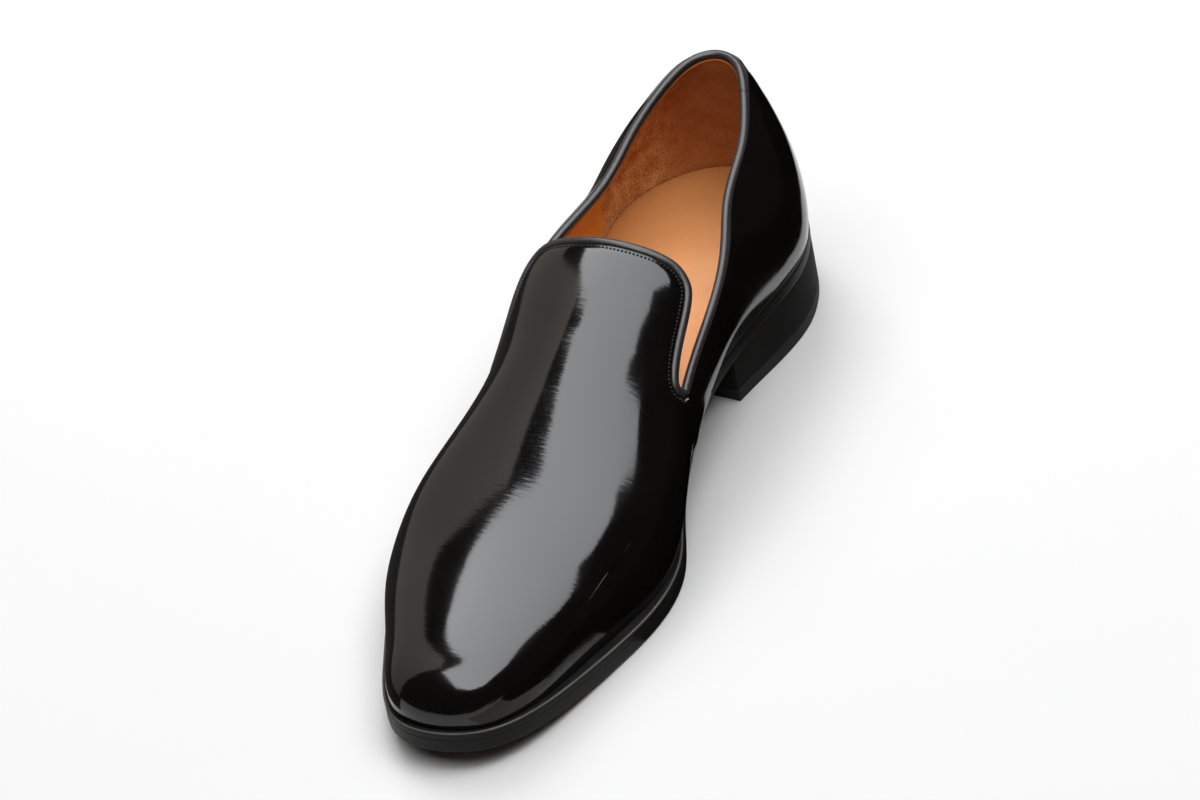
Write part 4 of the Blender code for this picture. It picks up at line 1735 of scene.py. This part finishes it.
@dataclass
class Studio:
    """Floor, panels, cards, lights and the camera at the photograph's angle."""

    azimuth: float = 28.96
    elevation: float = 37.09
    roll: float = 11.3
    distance: float = 3.0
    lens: float = 262.7
    clip_end: float = 50.0
    aim_right: float = 0.0055
    aim_height: float = 0.040
    floor_half: float = 9.0
    floor_grey: float = 0.88
    floor_roughness: float = 0.9
    floor_gloss: float = 0.1
    room_grey: float = 0.02
    backdrop_grey: float = 0.90
    strip_place: Place = (-0.209, 0.515, 0.685)
    strip_turn: float = 38.1
    strip_tilt: float = 15.2
    strip_radiance: float = 5.4
    strip_slope: float = -3.0
    strip_tint: Colour = (0.97, 1.0, 1.035)
    strip_corners: Corners = (
        *((-0.40, -0.82), (-0.31, -0.90), (-0.12, -0.905), (0.00, -0.83), (0.10, -0.775)),
        *((0.155, -0.75), (0.165, -0.675), (0.38, -0.66), (0.42, -0.58), (0.42, 0.30)),
        *((-0.20, 0.30), (-0.225, 0.10), (-0.275, -0.03), (-0.295, -0.13), (-0.285, -0.27)),
        *((-0.260, -0.40), (-0.225, -0.47), (-0.220, -0.51), (-0.240, -0.53), (-0.40, -0.56)),
    )
    side_x: float = -1.0
    side_radiance: float = 0.38
    side_slope: float = 0.32
    side_tint: Colour = (1.08, 1.0, 0.89)
    side_corners: Corners = (
        *((-0.50, 0.00), (-0.50, 0.31), (0.02, 2.50), (0.46, 2.50)),
        *((0.50, 1.20), (0.56, 0.82), (1.30, 0.60), (1.30, 0.00)),
    )
    # Painted reflections: the black card, the grey card and the dim inner card darken what the patent
    # mirrors of the floor beside the shoe; the grey one stands for the floor in shade near the toe.
    black_card: Card = Card(
        "black_card",
        0.0004,
        0.0,
        (0.0, 0.0, 0.0),
        (
            *((0.060, -0.135), (0.050, -0.106), (0.054, -0.080), (0.030, -0.060), (0.030, 0.045)),
            *((0.049, 0.056), (0.042, 0.089), (0.063, 0.129), (0.064, 0.195), (0.033, 0.220)),
            *((0.012, 0.237), (-0.020, 0.300), (-0.020, 7.500), (8.000, 7.500), (8.000, -1.500)),
            (0.200, -0.180),
        ),
    )
    grey_card: Card = Card(
        "grey_card",
        0.0002,
        0.50,
        (1.05, 1.0, 0.98),
        (
            *((0.026, -0.165), (0.036, -0.149), (0.046, -0.120), (0.050, -0.090)),
            *((0.054, -0.060), (0.200, -0.060), (0.200, -0.200), (0.030, -0.200)),
        ),
    )
    inner_card: Card = Card(
        "inner_card",
        0.0004,
        0.05,
        (1.08, 1.0, 0.89),
        ((-0.99, -0.60), (-0.99, 1.30), (-0.04, 0.20), (-0.04, -0.15)),
    )
    lamps: tuple[Lamp, ...] = (
        Lamp("top_light", 4.0, (0.0, 0.0, 2.6), 1.40),
        Lamp("key_light", 0.9, (0.55, 0.10, 1.70), 3.6),
        Lamp("back_light", 0.9, (-0.75, 1.00, 1.35), 4.8),
    )

    def camera_axes(self) -> tuple[Vector, Vector, Vector]:
        """Right, up and backward directions of the camera."""
        a, e, r = (math.radians(x) for x in (self.azimuth, self.elevation, self.roll))
        back = Vector((math.sin(a) * math.cos(e), -math.cos(a) * math.cos(e), math.sin(e)))
        level = Vector((math.cos(a), math.sin(a), 0.0))
        down = (-back).cross(level)
        right = level * math.cos(r) + down * math.sin(r)
        return right, level * math.sin(r) - down * math.cos(r), back

    def make_camera(self) -> None:
        """Place the camera and make it the scene's."""
        right, up, back = self.camera_axes()
        data = bpy.data.cameras.new("camera")
        data.lens = self.lens
        data.clip_end = self.clip_end
        camera = bpy.data.objects.new("camera", data)
        camera.matrix_world = Matrix((right, up, back)).transposed().to_4x4()
        camera.location = Vector((0, 0, self.aim_height)) + right * self.aim_right + back * self.distance
        bpy.context.scene.collection.objects.link(camera)
        bpy.context.scene.camera = camera

    def make_floor(self) -> None:
        """A wide pale floor."""
        ends = np.linspace(-self.floor_half, self.floor_half, 3)
        x, y = np.meshgrid(ends, ends, indexing="ij")
        sheet = SheetMaker()
        sheet.grid(np.stack([x, y, np.zeros_like(x)], axis=-1))
        dress = Dresser("pale_floor")
        dress.set(Base_Color=grey(self.floor_grey), Roughness=self.floor_roughness)
        dress.set(Specular_IOR_Level=self.floor_gloss)
        new_piece(sheet.mesh("floor"), dress.material)

    @staticmethod
    def panel(
        name: str,
        corners: Sequence[Vector],
        radiance: float,
        tint: Colour,
        slope: Place = (0.0, 0.0, 0.0),
    ) -> None:
        """A flat panel that shines, or is black where its radiance is 0; only mirrors see it.

        Args:
            name: The panel's name.
            corners: Its corners, in order.
            radiance: How bright its face is; with a slope, how bright it would be at the frame's origin.
            tint: The light's colour.
            slope: How much brighter it gets with each metre, along each axis.
        """
        data = bpy.data.meshes.new(name)
        data.from_pydata([tuple(corner) for corner in corners], [], [tuple(range(len(corners)))])
        levels = np.array([radiance + Vector(slope).dot(corner) for corner in corners])
        brightest = max(float(levels.max()), TINY)
        glow = data.attributes.new("glow", "FLOAT", "POINT")
        glow.data.foreach_set("value", (levels / brightest).astype(np.float32))
        dress = Dresser(name)
        shine = dress.shades(dress.attribute("glow"), (0.0, 0.0, 0.0), tint)
        dress.set(Base_Color=grey(0.0), Roughness=1.0, Specular_IOR_Level=0.0)
        dress.set(Emission_Color=shine, Emission_Strength=brightest)
        panel = new_piece(data, dress.material)
        panel.visible_camera = panel.visible_shadow = panel.visible_diffuse = False

    def make_panels(self) -> None:
        """A strip over the instep, a panel at the inner side, and cards on the floor."""
        turn = Matrix.Rotation(math.radians(self.strip_turn), 3, "Z")
        turn = turn @ Matrix.Rotation(math.radians(self.strip_tilt), 3, "X")
        place = Vector(self.strip_place)
        strip = [place + turn @ Vector((x, y, 0.0)) for x, y in self.strip_corners]
        slope = turn @ Vector((self.strip_slope, 0.0, 0.0))
        radiance = self.strip_radiance - slope.dot(place)
        self.panel("strip_box", strip, radiance, self.strip_tint, tuple(slope))
        side = [Vector((self.side_x, y, z)) for y, z in self.side_corners]
        self.panel("side_panel", side, self.side_radiance, self.side_tint, (0.0, 0.0, self.side_slope))
        for card in (self.black_card, self.grey_card, self.inner_card):
            corners = [Vector((x, y, card.height)) for x, y in card.corners]
            self.panel(card.name, corners, card.radiance, card.tint)

    def make_lamps(self) -> None:
        """The soft lights: from the top, from the outer side and from behind."""
        for lamp in self.lamps:
            data = bpy.data.lights.new(lamp.name, "AREA")
            data.size = lamp.size
            data.energy = lamp.radiance * math.pi * lamp.size**2
            light = bpy.data.objects.new(lamp.name, data)
            light.location = lamp.place
            light.rotation_euler = Vector(lamp.place).to_track_quat("Z", "Y").to_euler()
            light.visible_camera = light.visible_glossy = False
            bpy.context.scene.collection.objects.link(light)

    def make_world(self) -> None:
        """A dim room that is pale behind the floor; the standard view of colours."""
        world = bpy.data.worlds.new("room")
        world.use_nodes = True
        tree = Tree(world.node_tree)
        seen = tree.add("ShaderNodeLightPath").outputs["Is Camera Ray"]
        shade = tree.blend(seen, grey(self.room_grey), grey(self.backdrop_grey))
        tree.feed(world.node_tree.nodes["Background"].inputs["Color"], shade)
        bpy.context.scene.world = world
        bpy.context.scene.view_settings.view_transform = "Standard"


def main() -> None:
    """Build every piece of the shoe, then the studio."""
    logging.basicConfig(level=logging.INFO, format="%(name)s: %(message)s")
    LOG.info("frame has %d entries", len(frame))
    upper = Upper()
    tree = upper.topline_tree()
    patent = PATENT.material("patent_leather")
    declare(upper.make_leather(tree, patent), "patent_leather", "upper")
    declare(upper.make_back_strip(patent), "patent_leather")
    declare(upper.make_lining(tree, LINING.material("lining_leather")), "lining_leather")
    binding = BINDING_LEATHER.material("binding_leather")
    declare(Binding().make(binding), "binding_leather", "topline_binding")
    sole = SoleUnit()
    declare(sole.make_welt(SOLE_EDGE.material("welt_leather")), "welt_leather", "welt")
    declare(sole.make_outsole(SOLE_EDGE.material("sole_leather")), "sole_leather", "outsole")
    declare(sole.make_sock(SOCK_LEATHER.material("sock_leather")), "sock_leather", "insole")
    heel = Heel()
    declare(heel.make_stack(HEEL_EDGE.material("heel_leather")), "heel_leather", "heel_stack")
    declare(heel.make_lift(LIFT_RUBBER.material("lift_rubber")), "lift_rubber", "heel_top_lift")
    stitches, rows = StitchTree(), Stitching(upper)
    black, tan = BLACK_THREAD.material("black_thread"), TAN_THREAD.material("grip_thread")
    declare(stitches.sew("topline_stitches", rows.topline_row(), black), "thread")
    declare(stitches.sew("inside_stitches", rows.inside_row(), black), "thread")
    declare(stitches.sew("strip_stitches", rows.strip_row(), black), "thread")
    declare(stitches.sew("grip_stitches", rows.grip_row(), tan), "thread")
    studio = Studio()
    studio.make_floor()
    studio.make_panels()
    studio.make_lamps()
    studio.make_world()
    studio.make_camera()


if __name__ == "__main__":
    main()
